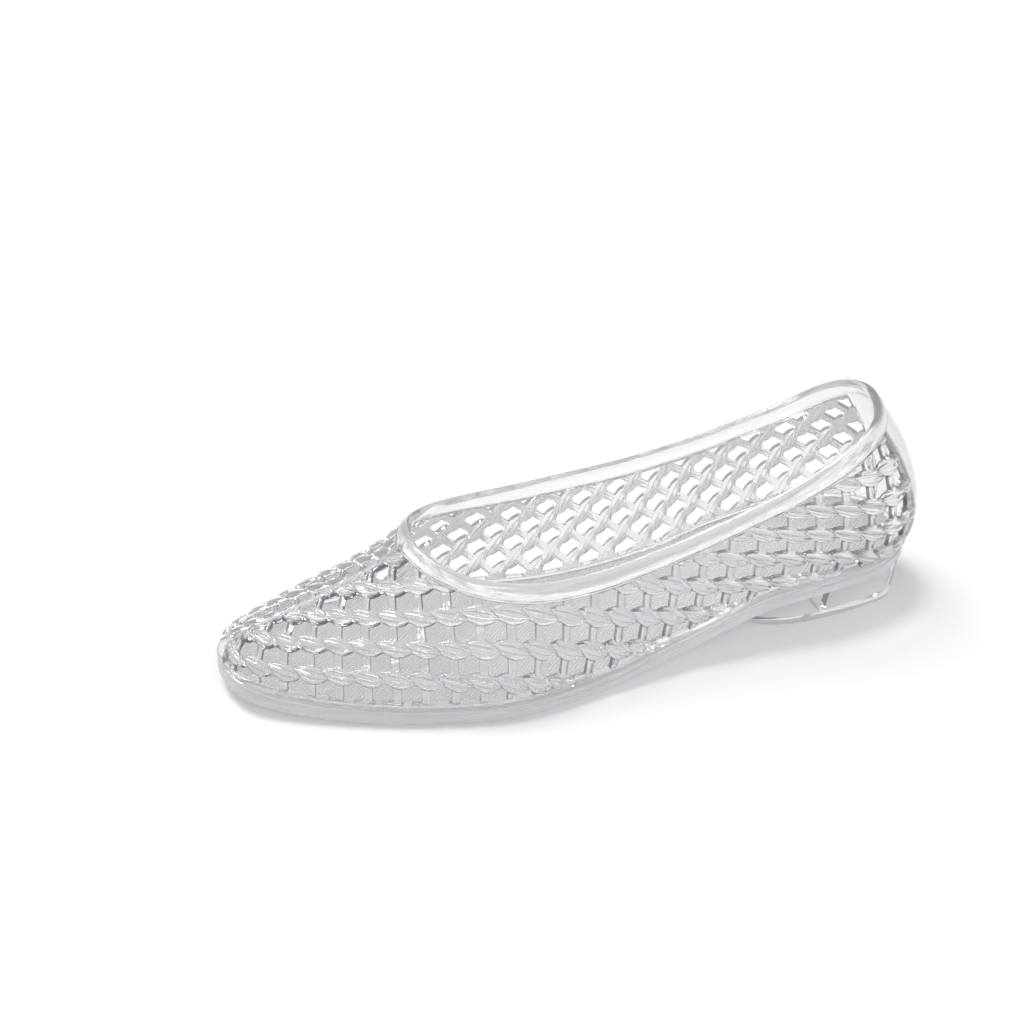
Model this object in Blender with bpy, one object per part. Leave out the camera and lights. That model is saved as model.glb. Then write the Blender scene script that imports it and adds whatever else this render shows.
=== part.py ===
# Clear moulded slip-on flat for the left foot: woven upper, outsole, hollow heel block and insole.
# X runs from heel to toe, +Y is the outer (lateral) side, Z is up. All sizes are in metres.

import math

import bmesh
import bpy
import numpy as np
from mathutils import Vector, geometry

# Driving dimensions
LENGTH = 0.250            # sole, heel to toe
SOLE_EDGE = 0.0052        # height of the sole's edge
SOLE_STEP = 0.0007        # small step along the top and bottom of the sole's edge
WALL_INSET = 0.0032       # sole edge to the inner face of the upper
GAP = 0.0003              # clearance between neighbouring pieces
MERGE = 0.00002           # points closer than this are one
WALL = 0.0020             # thickness of the woven wall
ROPE_RAISE = 0.0011       # a rope strip over the wall, at a bar
ROPE_NOTCH = 0.0005       # a rope strip over the wall, between two bars
RIM_HEIGHT = 0.0056       # smooth band round the collar
RIM_RAISE = 0.0010        # that band over the wall
RIM_ROUND = 0.0008        # softened top edge of the band
BASE_BAND = 0.0028        # closed band along the sole
BASE_RAISE = 0.0006
BACK_STRIP = 0.0175       # half width of the smooth strip up the heel
BACK_RAISE = 0.0007
BAND_FALL = 0.0007        # length of the slope at the side of a band
SPINE_MARGIN = 0.0030     # closed wall either side of the vamp's centre line
GAP_MARGIN = 0.0004       # least wall between a gap and a band
TOE_MARGIN = 0.0050       # closed wall at the toe tip
RING_CLEAR = 0.0015       # where a band beside the collar runs into the centre line
TOE_SWING = -0.004        # toe tip, towards the inner side
INSOLE = 0.0020
INSOLE_CLEAR = 0.0009
THROAT_X = 0.180          # front of the collar

# Weave of the outer side: ropes run along the foot, bars join them
BAR_PITCH = 0.0094
BAR_LEAN = 0.34           # bars lean back by this part of a pitch for each rope
# Weave of the inner side: the same cell turned, so that the ropes climb the wall and lean back
TURN = math.radians(44.0)
TURN_BAR = 0.0096
TURN_PITCH = 0.0088
TURN_START = (0.59, 0.14)    # bars and ropes before the heel back
CELL_GAP = ((0.15, 0.34), (0.50, 0.25), (0.85, 0.34), (0.85, 0.66), (0.50, 0.75), (0.15, 0.66))

# Cross sections of the last, one every 15 degrees of a half turn from heel back to toe tip
STATION = 15.0
COLUMNS = ("lateral", "medial", "feather", "ridge_x", "ridge_z", "flare", "rise", "shoulder",
           "ridge_slope", "rope_start", "rope_pitch")
SECTIONS = (
    (0.0000, 0.0000, 0.0195, 0.048, 0.1000, 0.0120, 0.018, 0.032, 0.00, 4.60, 0.0125),
    (0.0130, 0.0130, 0.0195, 0.049, 0.1000, 0.0120, 0.018, 0.031, 0.00, 4.60, 0.0124),
    (0.0225, 0.0220, 0.0195, 0.055, 0.0990, 0.0105, 0.018, 0.029, 0.00, 4.50, 0.0120),
    (0.0275, 0.0255, 0.0200, 0.067, 0.0960, 0.0080, 0.018, 0.027, 0.00, 3.90, 0.0110),
    (0.0287, 0.0245, 0.0170, 0.085, 0.0900, 0.0060, 0.018, 0.027, 0.00, 3.25, 0.0115),
    (0.0328, 0.0235, 0.0100, 0.109, 0.0800, 0.0040, 0.018, 0.027, -0.10, 2.15, 0.0125),
    (0.0405, 0.0260, 0.0054, 0.139, 0.0675, 0.0035, 0.017, 0.027, -0.35, 1.07, 0.0129),
    (0.0455, 0.0310, 0.0051, 0.168, 0.0560, 0.0030, 0.014, 0.026, -0.65, 0.32, 0.0126),
    (0.0400, 0.0345, 0.0051, 0.191, 0.0395, 0.0030, 0.010, 0.020, -0.60, 0.00, 0.0114),
    (0.0310, 0.0330, 0.0056, 0.212, 0.0295, 0.0025, 0.007, 0.017, -0.42, -0.03, 0.0112),
    (0.0213, 0.0260, 0.0072, 0.229, 0.0230, 0.0020, 0.005, 0.012, -0.38, 0.15, 0.0112),
    (0.0115, 0.0170, 0.0092, 0.239, 0.0190, 0.0020, 0.004, 0.007, -0.40, 0.20, 0.0110),
    (TOE_SWING, -TOE_SWING, 0.0100, 0.243, 0.0173, 0.0020, 0.004, 0.004, -0.40, 0.20, 0.0110),
)
ODD_COLUMNS = ("lateral", "medial")

# Height of the collar over the length, outer and inner side
TOPLINE_X = (0.018, 0.035, 0.060, 0.090, 0.120, 0.140, 0.160, 0.172, THROAT_X)
TOPLINE_Z = {
    1: (0.0778, 0.0700, 0.0593, 0.0498, 0.0443, 0.0430, 0.0445, 0.0463, 0.0480),
    -1: (0.0778, 0.0675, 0.0580, 0.0520, 0.0485, 0.0468, 0.0460, 0.0465, 0.0480),
}
TOPLINE_BACK_SLOPE = -0.3

# Heel block: half widths on the floor over the length, with a squarish back
HEEL_X = (0.0075, 0.0080, 0.0110, 0.0220, 0.0370, 0.0490, 0.0580, 0.0640)
HEEL_HALF = (0.0000, 0.0110, 0.0165, 0.0196, 0.0218, 0.0216, 0.0192, 0.0150)
HEEL_SPREAD = 0.15        # the block is wider by this part under the sole
HEEL_LEAN = 0.003         # and reaches this much further back
HEEL_INNER = 0.95         # the inner side against the outer side
HEEL_WALL = 0.0026
HEEL_FLOOR = 0.0028
HEEL_RIB_X = 0.037
HEEL_RIB = 0.0024

# How finely the curves are followed
ANGLE_STEPS = 360
V_STEPS = 80
MID_V = 0.35              # height on the wall where the lengthwise pitch is measured
SOLE_STATIONS = 40        # sections along the sole and the insole
SOLE_POINTS = 48          # points of the upper along the sole
SPINE_POINTS = 10         # along the centre line of the vamp
RIM_POINTS = 30           # along half of the collar
RIM_CROWD = 1.7           # crowds them towards the front
BACK_POINTS = 7           # up the heel
BACK_COLUMNS = 4          # over half of the strip up the heel
HEEL_POINTS = 22          # round half of the heel block
WEAVE_COUNT = range(-26, 46)


def hermite(xs, ys, x):
    """Smooth curve through a short table."""
    xs = np.asarray(xs, float)
    ys = np.asarray(ys, float)
    slope = np.gradient(ys, xs)
    k = np.clip(np.searchsorted(xs, x, side="right") - 1, 0, len(xs) - 2)
    span = xs[k + 1] - xs[k]
    t = (x - xs[k]) / span
    return ((2 * t**3 - 3 * t**2 + 1) * ys[k] + (t**3 - 2 * t**2 + t) * span * slope[k]
            + (3 * t**2 - 2 * t**3) * ys[k + 1] + (t**3 - t**2) * span * slope[k + 1])


def column(name, angle):
    """One column of the section table at any angle, carried on past both ends."""
    values = [row[COLUMNS.index(name)] for row in SECTIONS]
    before, after = values[1], values[-2]
    if name in ODD_COLUMNS:
        before = 2 * values[0] - values[1]
        after = 2 * values[-1] - values[-2]
    angles = STATION * np.arange(-1, len(values) + 1)
    return hermite(angles, [before] + values + [after], np.asarray(angle, float))


def outline(angle, side):
    """Edge of the sole in plan."""
    x = LENGTH / 2 * (1 - np.cos(np.radians(angle)))
    y = side * column("lateral" if side > 0 else "medial", angle)
    return x, y


def plan_normal(angle, side):
    """Outward direction of that edge in plan."""
    half = 0.5
    x1, y1 = outline(angle + half, side)
    x0, y0 = outline(angle - half, side)
    normal = np.stack([-(y1 - y0) * side, (x1 - x0) * side], -1)
    return normal / np.linalg.norm(normal, axis=-1, keepdims=True)


def inset_outline(angle, side, inset):
    """The sole's edge moved inwards."""
    x, y = outline(angle, side)
    normal = plan_normal(angle, side)
    return x - inset * normal[..., 0], y - inset * normal[..., 1]


def wall_point(angle, v, side):
    """Inner face of the upper, carried on over the foot: v is 0 at the sole and 1 on the centre line."""
    angle, v = np.broadcast_arrays(np.asarray(angle, float), np.asarray(v, float))
    x, y = inset_outline(angle, side, WALL_INSET)
    normal = plan_normal(angle, side)
    nx, ny = normal[..., 0], normal[..., 1]
    base_z = column("feather", angle)
    ridge_x = column("ridge_x", angle)
    base = np.stack([x, y, base_z], -1)
    ridge = np.stack([ridge_x, TOE_SWING * (ridge_x / LENGTH) ** 2, column("ridge_z", angle)], -1)
    flare = column("flare", angle)
    shoulder = column("shoulder", angle)
    low = base + np.stack([flare * nx, flare * ny, column("rise", angle)], -1)
    high = ridge + np.stack([shoulder * nx, shoulder * ny, shoulder * nx * column("ridge_slope", angle)], -1)
    v = v[..., None]
    return (1 - v)**3 * base + 3 * (1 - v)**2 * v * low + 3 * (1 - v) * v**2 * high + v**3 * ridge


def topline(x, side):
    """Height of the collar."""
    inside = np.clip(x, TOPLINE_X[0], TOPLINE_X[-1])
    return hermite(TOPLINE_X, TOPLINE_Z[side], inside) + TOPLINE_BACK_SLOPE * np.minimum(x - TOPLINE_X[0], 0)


class HalfWall:
    """One half of the upper laid flat: u runs from heel to toe and s up the wall, both as lengths."""

    def __init__(self, side):
        self.side = side
        self.angles = np.linspace(0, 180, ANGLE_STEPS + 1)
        self.v = np.linspace(0, 1, V_STEPS + 1)
        grid = wall_point(self.angles[:, None], self.v[None, :], side)
        steps = np.linalg.norm(np.diff(grid, axis=1), axis=2)
        self.arc = np.concatenate([np.zeros((len(self.angles), 1)), np.cumsum(steps, axis=1)], axis=1)
        middle = wall_point(self.angles, np.full_like(self.angles, MID_V), side)
        lengths = np.linalg.norm(np.diff(middle, axis=0), axis=1)
        self.u = np.concatenate([[0.0], np.cumsum(lengths)])
        self.top = self.find_top(grid)

    def find_top(self, grid):
        """Length up the wall to the collar, or to the centre line in front of it."""
        over = grid[..., 2] - topline(grid[..., 0], self.side)
        over[grid[..., 0] > THROAT_X] = -1.0
        top = self.arc[:, -1].copy()
        for row, rise in enumerate(over):
            k = int(np.argmax(rise > 0))
            if rise[k] > 0:
                part = -rise[k - 1] / (rise[k] - rise[k - 1])
                top[row] = self.arc[row, k - 1] + part * (self.arc[row, k] - self.arc[row, k - 1])
        return top

    def u_at(self, angle):
        return np.interp(angle, self.angles, self.u)

    def angle_at(self, u):
        return np.interp(u, self.u, self.angles)

    def top_at(self, angle):
        return np.interp(angle, self.angles, self.top)

    def ridge_at(self, angle):
        return np.interp(angle, self.angles, self.arc[:, -1])

    def place(self, flat, height):
        """Points of the flat wall, raised by their heights, on the last."""
        flat = np.asarray(flat, float)
        angle = self.angle_at(flat[:, 0])
        position = angle / 180 * ANGLE_STEPS
        row = np.minimum(position.astype(int), ANGLE_STEPS - 1)
        part = (position - row)[:, None]
        arcs = self.arc[row] * (1 - part) + self.arc[row + 1] * part
        s = np.clip(flat[:, 1], 0, arcs[:, -1])
        k = np.clip((arcs <= s[:, None]).sum(axis=1) - 1, 0, V_STEPS - 1)
        index = np.arange(len(k))
        span = arcs[index, k + 1] - arcs[index, k]
        v = self.v[k] + (s - arcs[index, k]) / span / V_STEPS
        points = wall_point(angle, v, self.side)
        normal = self.normals(angle, v)
        moved = points + np.asarray(height)[:, None] * normal
        moved[:, 2] = np.maximum(moved[:, 2], column("feather", angle))
        return moved

    def normals(self, angle, v):
        """Outward direction of the wall, level across the shoe on its centre plane."""
        turn = 0.4
        step = 0.01
        low = np.clip(v - step, 0, 1)
        high = np.clip(v + step, 0, 1)
        along = wall_point(angle + turn, v, self.side) - wall_point(angle - turn, v, self.side)
        up = wall_point(angle, high, self.side) - wall_point(angle, low, self.side)
        normal = self.side * np.cross(up, along)
        ridge = v > 1 - 1e-6
        normal[ridge] = np.stack([-along[ridge, 2], 0 * along[ridge, 1], along[ridge, 0]], -1)
        normal[(angle < 1e-6) | (angle > 180 - 1e-6), 1] = 0
        return normal / np.linalg.norm(normal, axis=1, keepdims=True)

    def lattice(self, bar, rope):
        """A point of the weave, counted in bars and ropes, on the flat wall."""
        if self.side > 0:
            u = (bar - BAR_LEAN * rope) * BAR_PITCH
            angle = self.angle_at(u)
            return u, (rope - column("rope_start", angle)) * column("rope_pitch", angle)
        along, across = (bar - TURN_START[0]) * TURN_BAR, (rope - TURN_START[1]) * TURN_PITCH
        u = across * math.sin(TURN) - along * math.cos(TURN)
        return u, along * math.sin(TURN) + across * math.cos(TURN)


def polyline_normals(points):
    """Directions to the left of a polyline's points."""
    along = np.gradient(points, axis=0)
    along /= np.linalg.norm(along, axis=1, keepdims=True)
    return np.stack([-along[:, 1], along[:, 0]], -1)


def inside_polygon(point, polygon):
    """Even and odd crossings of a level line."""
    x, y = point
    a = polygon
    b = np.roll(polygon, -1, axis=0)
    crosses = (a[:, 1] > y) != (b[:, 1] > y)
    rise = np.where(crosses, b[:, 1] - a[:, 1], 1.0)
    at = a[:, 0] + (y - a[:, 1]) / rise * (b[:, 0] - a[:, 0])
    return bool(np.count_nonzero(crosses & (x < at)) % 2)


def polygon_distance(point, polygon):
    """Shortest way from a point to a polygon's edges."""
    a = polygon
    edge = np.roll(polygon, -1, axis=0) - a
    offset = np.asarray(point) - a
    t = np.clip((offset * edge).sum(axis=1) / (edge**2).sum(axis=1), 0, 1)
    return float(np.min(np.linalg.norm(offset - t[:, None] * edge, axis=1)))


class FlatMesh:
    """Points with heights, fixed edges and gaps, to be split into triangles."""

    def __init__(self):
        self.points = []
        self.heights = []
        self.edges = []

    def add(self, points, heights, closed=False, joined=True):
        first = len(self.points)
        self.points += [tuple(point) for point in points]
        self.heights += list(heights)
        last = len(self.points) - 1
        if joined:
            self.edges += [(k, k + 1) for k in range(first, last)]
        if closed:
            self.edges.append((last, first))
        return list(range(first, last + 1))

    def triangles(self, border, gaps):
        """Triangles inside the border and outside the gaps, on the points as they were added."""
        flat = [Vector(point) for point in self.points]
        found = geometry.delaunay_2d_cdt(flat, self.edges, [], 0, 1e-8)
        spots, faces, origins = found[0], found[2], found[3]
        centres = [np.mean(gap, axis=0) for gap in gaps]
        kept = []
        for face in faces:
            middle = np.mean([spots[k][:] for k in face], axis=0)
            if not inside_polygon(middle, border):
                continue
            near = [gap for gap, centre in zip(gaps, centres) if np.abs(centre - middle).max() < BAR_PITCH]
            if any(inside_polygon(middle, gap) for gap in near):
                continue
            kept.append([origins[k][0] for k in face])
        return kept


def throat_angle():
    """Section whose centre line point is the front of the collar."""
    angles = np.linspace(90, 150, 601)
    return float(np.interp(THROAT_X, column("ridge_x", angles), angles))


def spine_angle(distance):
    """Section whose centre line point lies this far in front of the collar."""
    angles = np.linspace(throat_angle(), 180, 721)
    points = wall_point(angles, np.ones_like(angles), 1)
    run = np.concatenate([[0.0], np.cumsum(np.linalg.norm(np.diff(points, axis=0), axis=1))])
    return float(np.interp(distance, run, angles))


def weave_area(wall, spine, ring):
    """Part of the flat wall that the weave may fill, as a polygon."""
    low = BASE_BAND + BAND_FALL
    start = BACK_STRIP + BAND_FALL
    front = wall.u[-1] - TOE_MARGIN
    angles = np.linspace(wall.angle_at(front), spine, 12)
    sides = [(wall.u_at(angle), wall.ridge_at(angle) - SPINE_MARGIN) for angle in angles]
    behind = [point for point in ring if point[0] > start]
    return np.array([(start, low), (front, low)] + sides + behind + [(start, ring[-1][1])])


def cut_gaps(wall, area):
    """Outlines of the whole gaps of the weave."""
    low, high = area.min(axis=0), area.max(axis=0)
    gaps = []
    for rope in WEAVE_COUNT:
        for bar in WEAVE_COUNT:
            middle = np.array(wall.lattice(bar + 0.5, rope + 0.5))
            if np.any(middle < low) or np.any(middle > high):
                continue
            gap = np.array([wall.lattice(bar + b, rope + r) for b, r in CELL_GAP])
            if all(inside_polygon(p, area) and polygon_distance(p, area) > GAP_MARGIN for p in gap):
                gaps.append(gap)
    return gaps


def rope_runs(wall, area):
    """Crest points of each rope strip: flat place, and whether a bar meets it there."""
    runs = []
    for rope in WEAVE_COUNT:
        run = []
        for half in range(2 * WEAVE_COUNT[0], 2 * WEAVE_COUNT[-1]):
            place = wall.lattice(half / 2, rope)
            fits = inside_polygon(place, area) and polygon_distance(place, area) > GAP_MARGIN
            if fits:
                run.append((place, half % 2 == 0))
            elif run:
                runs.append(run)
                run = []
    return runs


def half_upper(side):
    """One half of the upper as points and faces: outer face, inner face and the edges between them."""
    wall = HalfWall(side)
    ways = (0.0, RIM_ROUND, RIM_HEIGHT - BAND_FALL, RIM_HEIGHT)
    way_heights = (WALL + RIM_RAISE / 2, WALL + RIM_RAISE, WALL + RIM_RAISE, WALL)

    # Border of the flat wall: sole line, toe, centre line of the vamp, collar, heel back
    sole = [(u, 0.0) for u in np.linspace(0, wall.u[-1], SOLE_POINTS)]
    toe_top = wall.ridge_at(180.0)
    toe = [(wall.u[-1], BASE_BAND), (wall.u[-1], BASE_BAND + BAND_FALL), (wall.u[-1], 0.6 * toe_top)]
    spine_angles = list(np.linspace(180, spine_angle(RIM_HEIGHT), SPINE_POINTS))
    spine_angles += [spine_angle(way) for way in ways[-2::-1]]
    spine = [(wall.u_at(angle), wall.ridge_at(angle)) for angle in spine_angles]
    share = np.linspace(0, 1, RIM_POINTS)[1:]
    rim = [(wall.u_at(angle), wall.top_at(angle)) for angle in throat_angle() * (1 - share**RIM_CROWD)]
    back_top = rim[-1][1]
    back = [(0.0, back_top - way) for way in ways[1:]]
    back += [(0.0, s) for s in np.linspace(back_top - RIM_HEIGHT, BASE_BAND + BAND_FALL, BACK_POINTS)[1:]]
    back += [(0.0, BASE_BAND)]

    outer = FlatMesh()
    heights = [WALL + BASE_RAISE] * len(sole) + [WALL + BASE_RAISE, WALL, WALL]
    heights += [WALL] * (SPINE_POINTS - 1) + list(way_heights[::-1])
    heights += [way_heights[0]] * len(rim) + list(way_heights[1:])
    heights += [WALL + BACK_RAISE] * (len(back) - len(ways) + 1)
    border = sole + toe + spine + rim + back
    outer.add(border, heights, closed=True)
    border = np.array(border)
    first_rim = len(sole) + len(toe) + len(spine) - 1
    first_back = first_rim + len(rim)

    # Bands beside the collar and the sole, each from the centre line to the heel back
    whole_rim = np.array([spine[-1]] + rim)
    inward = polyline_normals(whole_rim)
    inward[-1] = (0.0, -1.0)
    for k in range(1, len(ways)):
        ring = whole_rim + ways[k] * inward
        ring = [p for p in ring[1:-1] if p[1] < wall.ridge_at(wall.angle_at(p[0])) - RING_CLEAR]
        made = outer.add(ring, [way_heights[k]] * len(ring))
        outer.edges += [(first_rim - k, made[0]), (made[-1], first_back + k)]
    inner_sole = np.linspace(0, wall.u[-1], SOLE_POINTS)[1:-1]
    for k, (s, height) in enumerate(((BASE_BAND, WALL + BASE_RAISE), (BASE_BAND + BAND_FALL, WALL))):
        made = outer.add([(u, s) for u in inner_sole], [height] * len(inner_sole))
        outer.edges += [(len(border) - 1 - k, made[0]), (made[-1], len(sole) + k)]
    ring_u, ring_s = np.array(ring[::-1]).T
    strip = [(u, WALL + BACK_RAISE) for u in np.linspace(0, BACK_STRIP, BACK_COLUMNS + 1)[1:]]
    strip_spots = []
    for u, height in strip + [(BACK_STRIP + BAND_FALL, WALL)]:
        high = np.interp(u, ring_u, ring_s) - 2 * BAND_FALL
        spots = [(u, s) for s in np.linspace(BASE_BAND + 3 * BAND_FALL, high, BACK_POINTS)]
        outer.add(spots, [height] * BACK_POINTS)
        strip_spots += spots

    # Weave: gaps and raised ropes
    area = weave_area(wall, spine_angle(RIM_HEIGHT), ring)
    gaps = cut_gaps(wall, area)
    outer_gaps = [outer.add(gap, [WALL] * len(gap), closed=True) for gap in gaps]
    nodes = []
    for run in rope_runs(wall, area):
        crest = [WALL + (ROPE_RAISE if at_bar else ROPE_NOTCH) for place, at_bar in run]
        outer.add([place for place, at_bar in run], crest)
        nodes += [place for place, at_bar in run if at_bar]

    inner = FlatMesh()
    inner.add(border, [0.0] * len(border), closed=True)
    inner_gaps = [inner.add(gap, [0.0] * len(gap), closed=True) for gap in gaps]
    inner.add(nodes + strip_spots, [0.0] * len(nodes + strip_spots), joined=False)
    inner.add([(u, BASE_BAND) for u in inner_sole], [0.0] * len(inner_sole), joined=False)

    points = np.vstack([wall.place(outer.points, outer.heights), wall.place(inner.points, inner.heights)])
    shift = len(outer.points)
    faces = outer.triangles(border, gaps)
    faces += [[shift + k for k in face] for face in inner.triangles(border, gaps)]
    open_edges = [(k, k + 1) for k in range(len(sole) - 1)]
    open_edges += [(k, k + 1) for k in range(first_rim, first_back)]
    for a, b in open_edges:
        faces.append([a, b, shift + b, shift + a])
    for loop, inside in zip(outer_gaps, inner_gaps):
        for k in range(len(loop)):
            n = (k + 1) % len(loop)
            faces.append([loop[k], loop[n], shift + inside[n], shift + inside[k]])
    return points, faces


def mesh_object(name, points, faces, material, smooth_angle=40.0):
    """A named object from points and faces, its seams merged and its faces turned outwards."""
    mesh = bpy.data.meshes.new(name)
    shape = bmesh.new()
    corners = [shape.verts.new(point) for point in points]
    for face in faces:
        shape.faces.new([corners[k] for k in face])
    bmesh.ops.remove_doubles(shape, verts=shape.verts, dist=MERGE)
    bmesh.ops.recalc_face_normals(shape, faces=shape.faces)
    shape.to_mesh(mesh)
    shape.free()
    mesh.shade_smooth()
    mesh.set_sharp_from_angle(angle=math.radians(smooth_angle))
    mesh.materials.append(material)
    thing = bpy.data.objects.new(name, mesh)
    bpy.context.collection.objects.link(thing)
    return thing


def clear_plastic(name, colour, roughness):
    """Clear soft plastic in the piece's own tint."""
    material = bpy.data.materials.new(name)
    material.use_nodes = True
    shader = material.node_tree.nodes["Principled BSDF"]
    shader.inputs["Base Color"].default_value = (*colour, 1.0)
    shader.inputs["Roughness"].default_value = roughness
    shader.inputs["Metallic"].default_value = 0.0
    shader.inputs["Transmission Weight"].default_value = 0.9
    shader.inputs["IOR"].default_value = 1.53
    return material


def make_upper():
    """Hollow woven upper, open at the collar and underneath."""
    points, faces = [], []
    for side in (1, -1):
        half_points, half_faces = half_upper(side)
        faces += [[len(points) + k for k in face] for face in half_faces]
        points += list(half_points)
    return mesh_object("upper", points, faces, clear_plastic("clear_pvc_upper", (0.90, 0.90, 0.94), 0.08))


def sole_bottom(angle):
    """Underside of the sole: flat under the ball, raised in the arch, at the heel and at the toe."""
    return np.maximum(column("feather", angle) - SOLE_EDGE, 0.0)


def footprint(levels):
    """Closed plate from rings given as (inset, height at an angle), bottom first."""
    angles = np.linspace(0, 180, SOLE_STATIONS + 1)
    points, faces = [], []
    count = 2 * SOLE_STATIONS
    for inset, height in levels:
        for side, run in ((1, angles), (-1, angles[-2:0:-1])):
            x, y = inset_outline(run, side, inset)
            points += list(np.stack([x, y, height(run)], -1))
    for level in range(len(levels) - 1):
        low, high = level * count, (level + 1) * count
        for k in range(count):
            n = (k + 1) % count
            faces.append([low + k, low + n, high + n, high + k])
    for first in (0, (len(levels) - 1) * count):
        for k in range(SOLE_STATIONS):
            ring = [k, k + 1, (count - k - 1) % count, (count - k) % count]
            faces.append([first + corner for corner in dict.fromkeys(ring)])
    return points, faces


def make_outsole():
    """Sole with a stepped edge, arch and toe spring."""
    levels = (
        (SOLE_STEP, sole_bottom),
        (0.0, lambda angle: sole_bottom(angle) + SOLE_STEP),
        (0.0, lambda angle: column("feather", angle) - GAP - SOLE_STEP),
        (SOLE_STEP, lambda angle: column("feather", angle) - GAP),
    )
    points, faces = footprint(levels)
    return mesh_object("outsole", points, faces, clear_plastic("clear_pvc_sole", (0.84, 0.84, 0.92), 0.12))


def make_insole():
    """Thin footbed inside the upper."""
    inset = WALL_INSET + INSOLE_CLEAR
    levels = (
        (inset, lambda angle: column("feather", angle)),
        (inset, lambda angle: column("feather", angle) + INSOLE - SOLE_STEP),
        (inset + SOLE_STEP, lambda angle: column("feather", angle) + INSOLE),
    )
    points, faces = footprint(levels)
    return mesh_object("insole", points, faces, clear_plastic("hatched_footbed", (0.88, 0.88, 0.92), 0.35))


def heel_edge(count):
    """Half plan of the heel block on the floor, from the middle of its back round to its front."""
    run = np.arange(len(HEEL_X))
    share = np.linspace(0, len(HEEL_X) - 1, count)
    return np.maximum.accumulate(hermite(run, HEEL_X, share)), hermite(run, HEEL_HALF, share)


def heel_room(low_x, high_x):
    """Half plan of a room inside the block, between two cross walls."""
    x = np.linspace(low_x, high_x, HEEL_POINTS // 2)
    return x, np.interp(x, *heel_edge(10 * HEEL_POINTS)) - HEEL_WALL


def heel_top(x, half):
    """The same plan under the sole: wider amidships and further back."""
    along = (x - HEEL_X[0]) / (HEEL_X[-1] - HEEL_X[0])
    wide = 1 + HEEL_SPREAD * np.minimum(2 * along, 1)
    return x - HEEL_LEAN * (1 - along), half * wide


def heel_sole_height(x):
    """Top of the heel block, just under the sole."""
    angle = np.degrees(np.arccos(1 - 2 * np.clip(x, 0, LENGTH) / LENGTH))
    return sole_bottom(angle) - GAP


def heel_loft(x, half, floor, over):
    """Closed block from the floor height up to the sole, or past it by over."""
    inner = np.stack([x, -HEEL_INNER * half], -1)
    loop = np.concatenate([np.stack([x, half], -1), inner[::-1]])
    loop = np.array([p for k, p in enumerate(loop) if np.linalg.norm(p - loop[k - 1]) > MERGE])
    top_x, top_half = heel_top(loop[:, 0], loop[:, 1])
    low = np.column_stack([loop, np.full(len(loop), floor)])
    high = np.column_stack([top_x, top_half, heel_sole_height(top_x) + over])
    count = len(loop)
    faces = [[k, (k + 1) % count, count + (k + 1) % count, count + k] for k in range(count)]
    faces += [list(range(count)), list(range(count, 2 * count))]
    return np.vstack([low, high]), faces


def make_heel():
    """Hollow heel block, open under the sole, with one cross rib."""
    material = clear_plastic("clear_heel", (0.93, 0.92, 0.88), 0.06)
    points, faces = heel_loft(*heel_edge(HEEL_POINTS), 0.0, 0.0)
    heel = mesh_object("heel", points, faces, material)
    rooms = (("heel_room_back", HEEL_X[0] + HEEL_WALL, HEEL_RIB_X - HEEL_RIB / 2),
             ("heel_room_front", HEEL_RIB_X + HEEL_RIB / 2, HEEL_X[-1] - HEEL_WALL))
    for name, low_x, high_x in rooms:
        points, faces = heel_loft(*heel_room(low_x, high_x), HEEL_FLOOR, SOLE_EDGE)
        room = mesh_object(name, points, faces, material)
        room.hide_render = True
        room.display_type = "WIRE"
        cut = heel.modifiers.new(name, "BOOLEAN")
        cut.operation = "DIFFERENCE"
        cut.object = room
    return heel


def clear_scene():
    for thing in list(bpy.data.objects):
        bpy.data.objects.remove(thing, do_unlink=True)


def centre_on_floor(pieces):
    """Puts the middle of the shoe's box over the origin, by way of one parent."""
    corners = np.array([corner[:] for piece in pieces for corner in piece.bound_box])
    middle = (corners.min(axis=0) + corners.max(axis=0)) / 2
    parent = bpy.data.objects.new("shoe", None)
    bpy.context.collection.objects.link(parent)
    parent.location = (-middle[0], -middle[1], 0.0)
    for thing in bpy.data.objects:
        if thing is not parent:
            thing.parent = parent


def main():
    clear_scene()
    centre_on_floor([make_upper(), make_outsole(), make_heel(), make_insole()])


main()
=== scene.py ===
# Clear moulded slip-on flat for the left foot: woven upper, sole, hollow heel and hatched footbed
import math

import bmesh
import bpy
import numpy as np
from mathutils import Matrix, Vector
from mathutils.kdtree import KDTree


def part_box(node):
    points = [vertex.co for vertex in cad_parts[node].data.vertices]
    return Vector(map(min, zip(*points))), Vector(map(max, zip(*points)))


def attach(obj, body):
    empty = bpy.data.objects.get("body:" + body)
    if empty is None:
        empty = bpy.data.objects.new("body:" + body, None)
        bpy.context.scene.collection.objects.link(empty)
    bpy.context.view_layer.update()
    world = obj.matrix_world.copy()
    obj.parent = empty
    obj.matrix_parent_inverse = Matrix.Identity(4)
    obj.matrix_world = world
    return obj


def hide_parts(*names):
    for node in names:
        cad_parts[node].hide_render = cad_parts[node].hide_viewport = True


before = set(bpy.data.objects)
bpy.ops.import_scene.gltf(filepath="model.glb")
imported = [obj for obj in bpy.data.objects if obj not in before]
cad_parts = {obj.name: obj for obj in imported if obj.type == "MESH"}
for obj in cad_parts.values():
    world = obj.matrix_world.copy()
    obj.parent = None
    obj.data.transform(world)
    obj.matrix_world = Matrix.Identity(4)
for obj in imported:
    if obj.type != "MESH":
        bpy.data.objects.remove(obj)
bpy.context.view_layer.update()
print("frame loaded:", ", ".join(sorted(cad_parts)))

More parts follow.
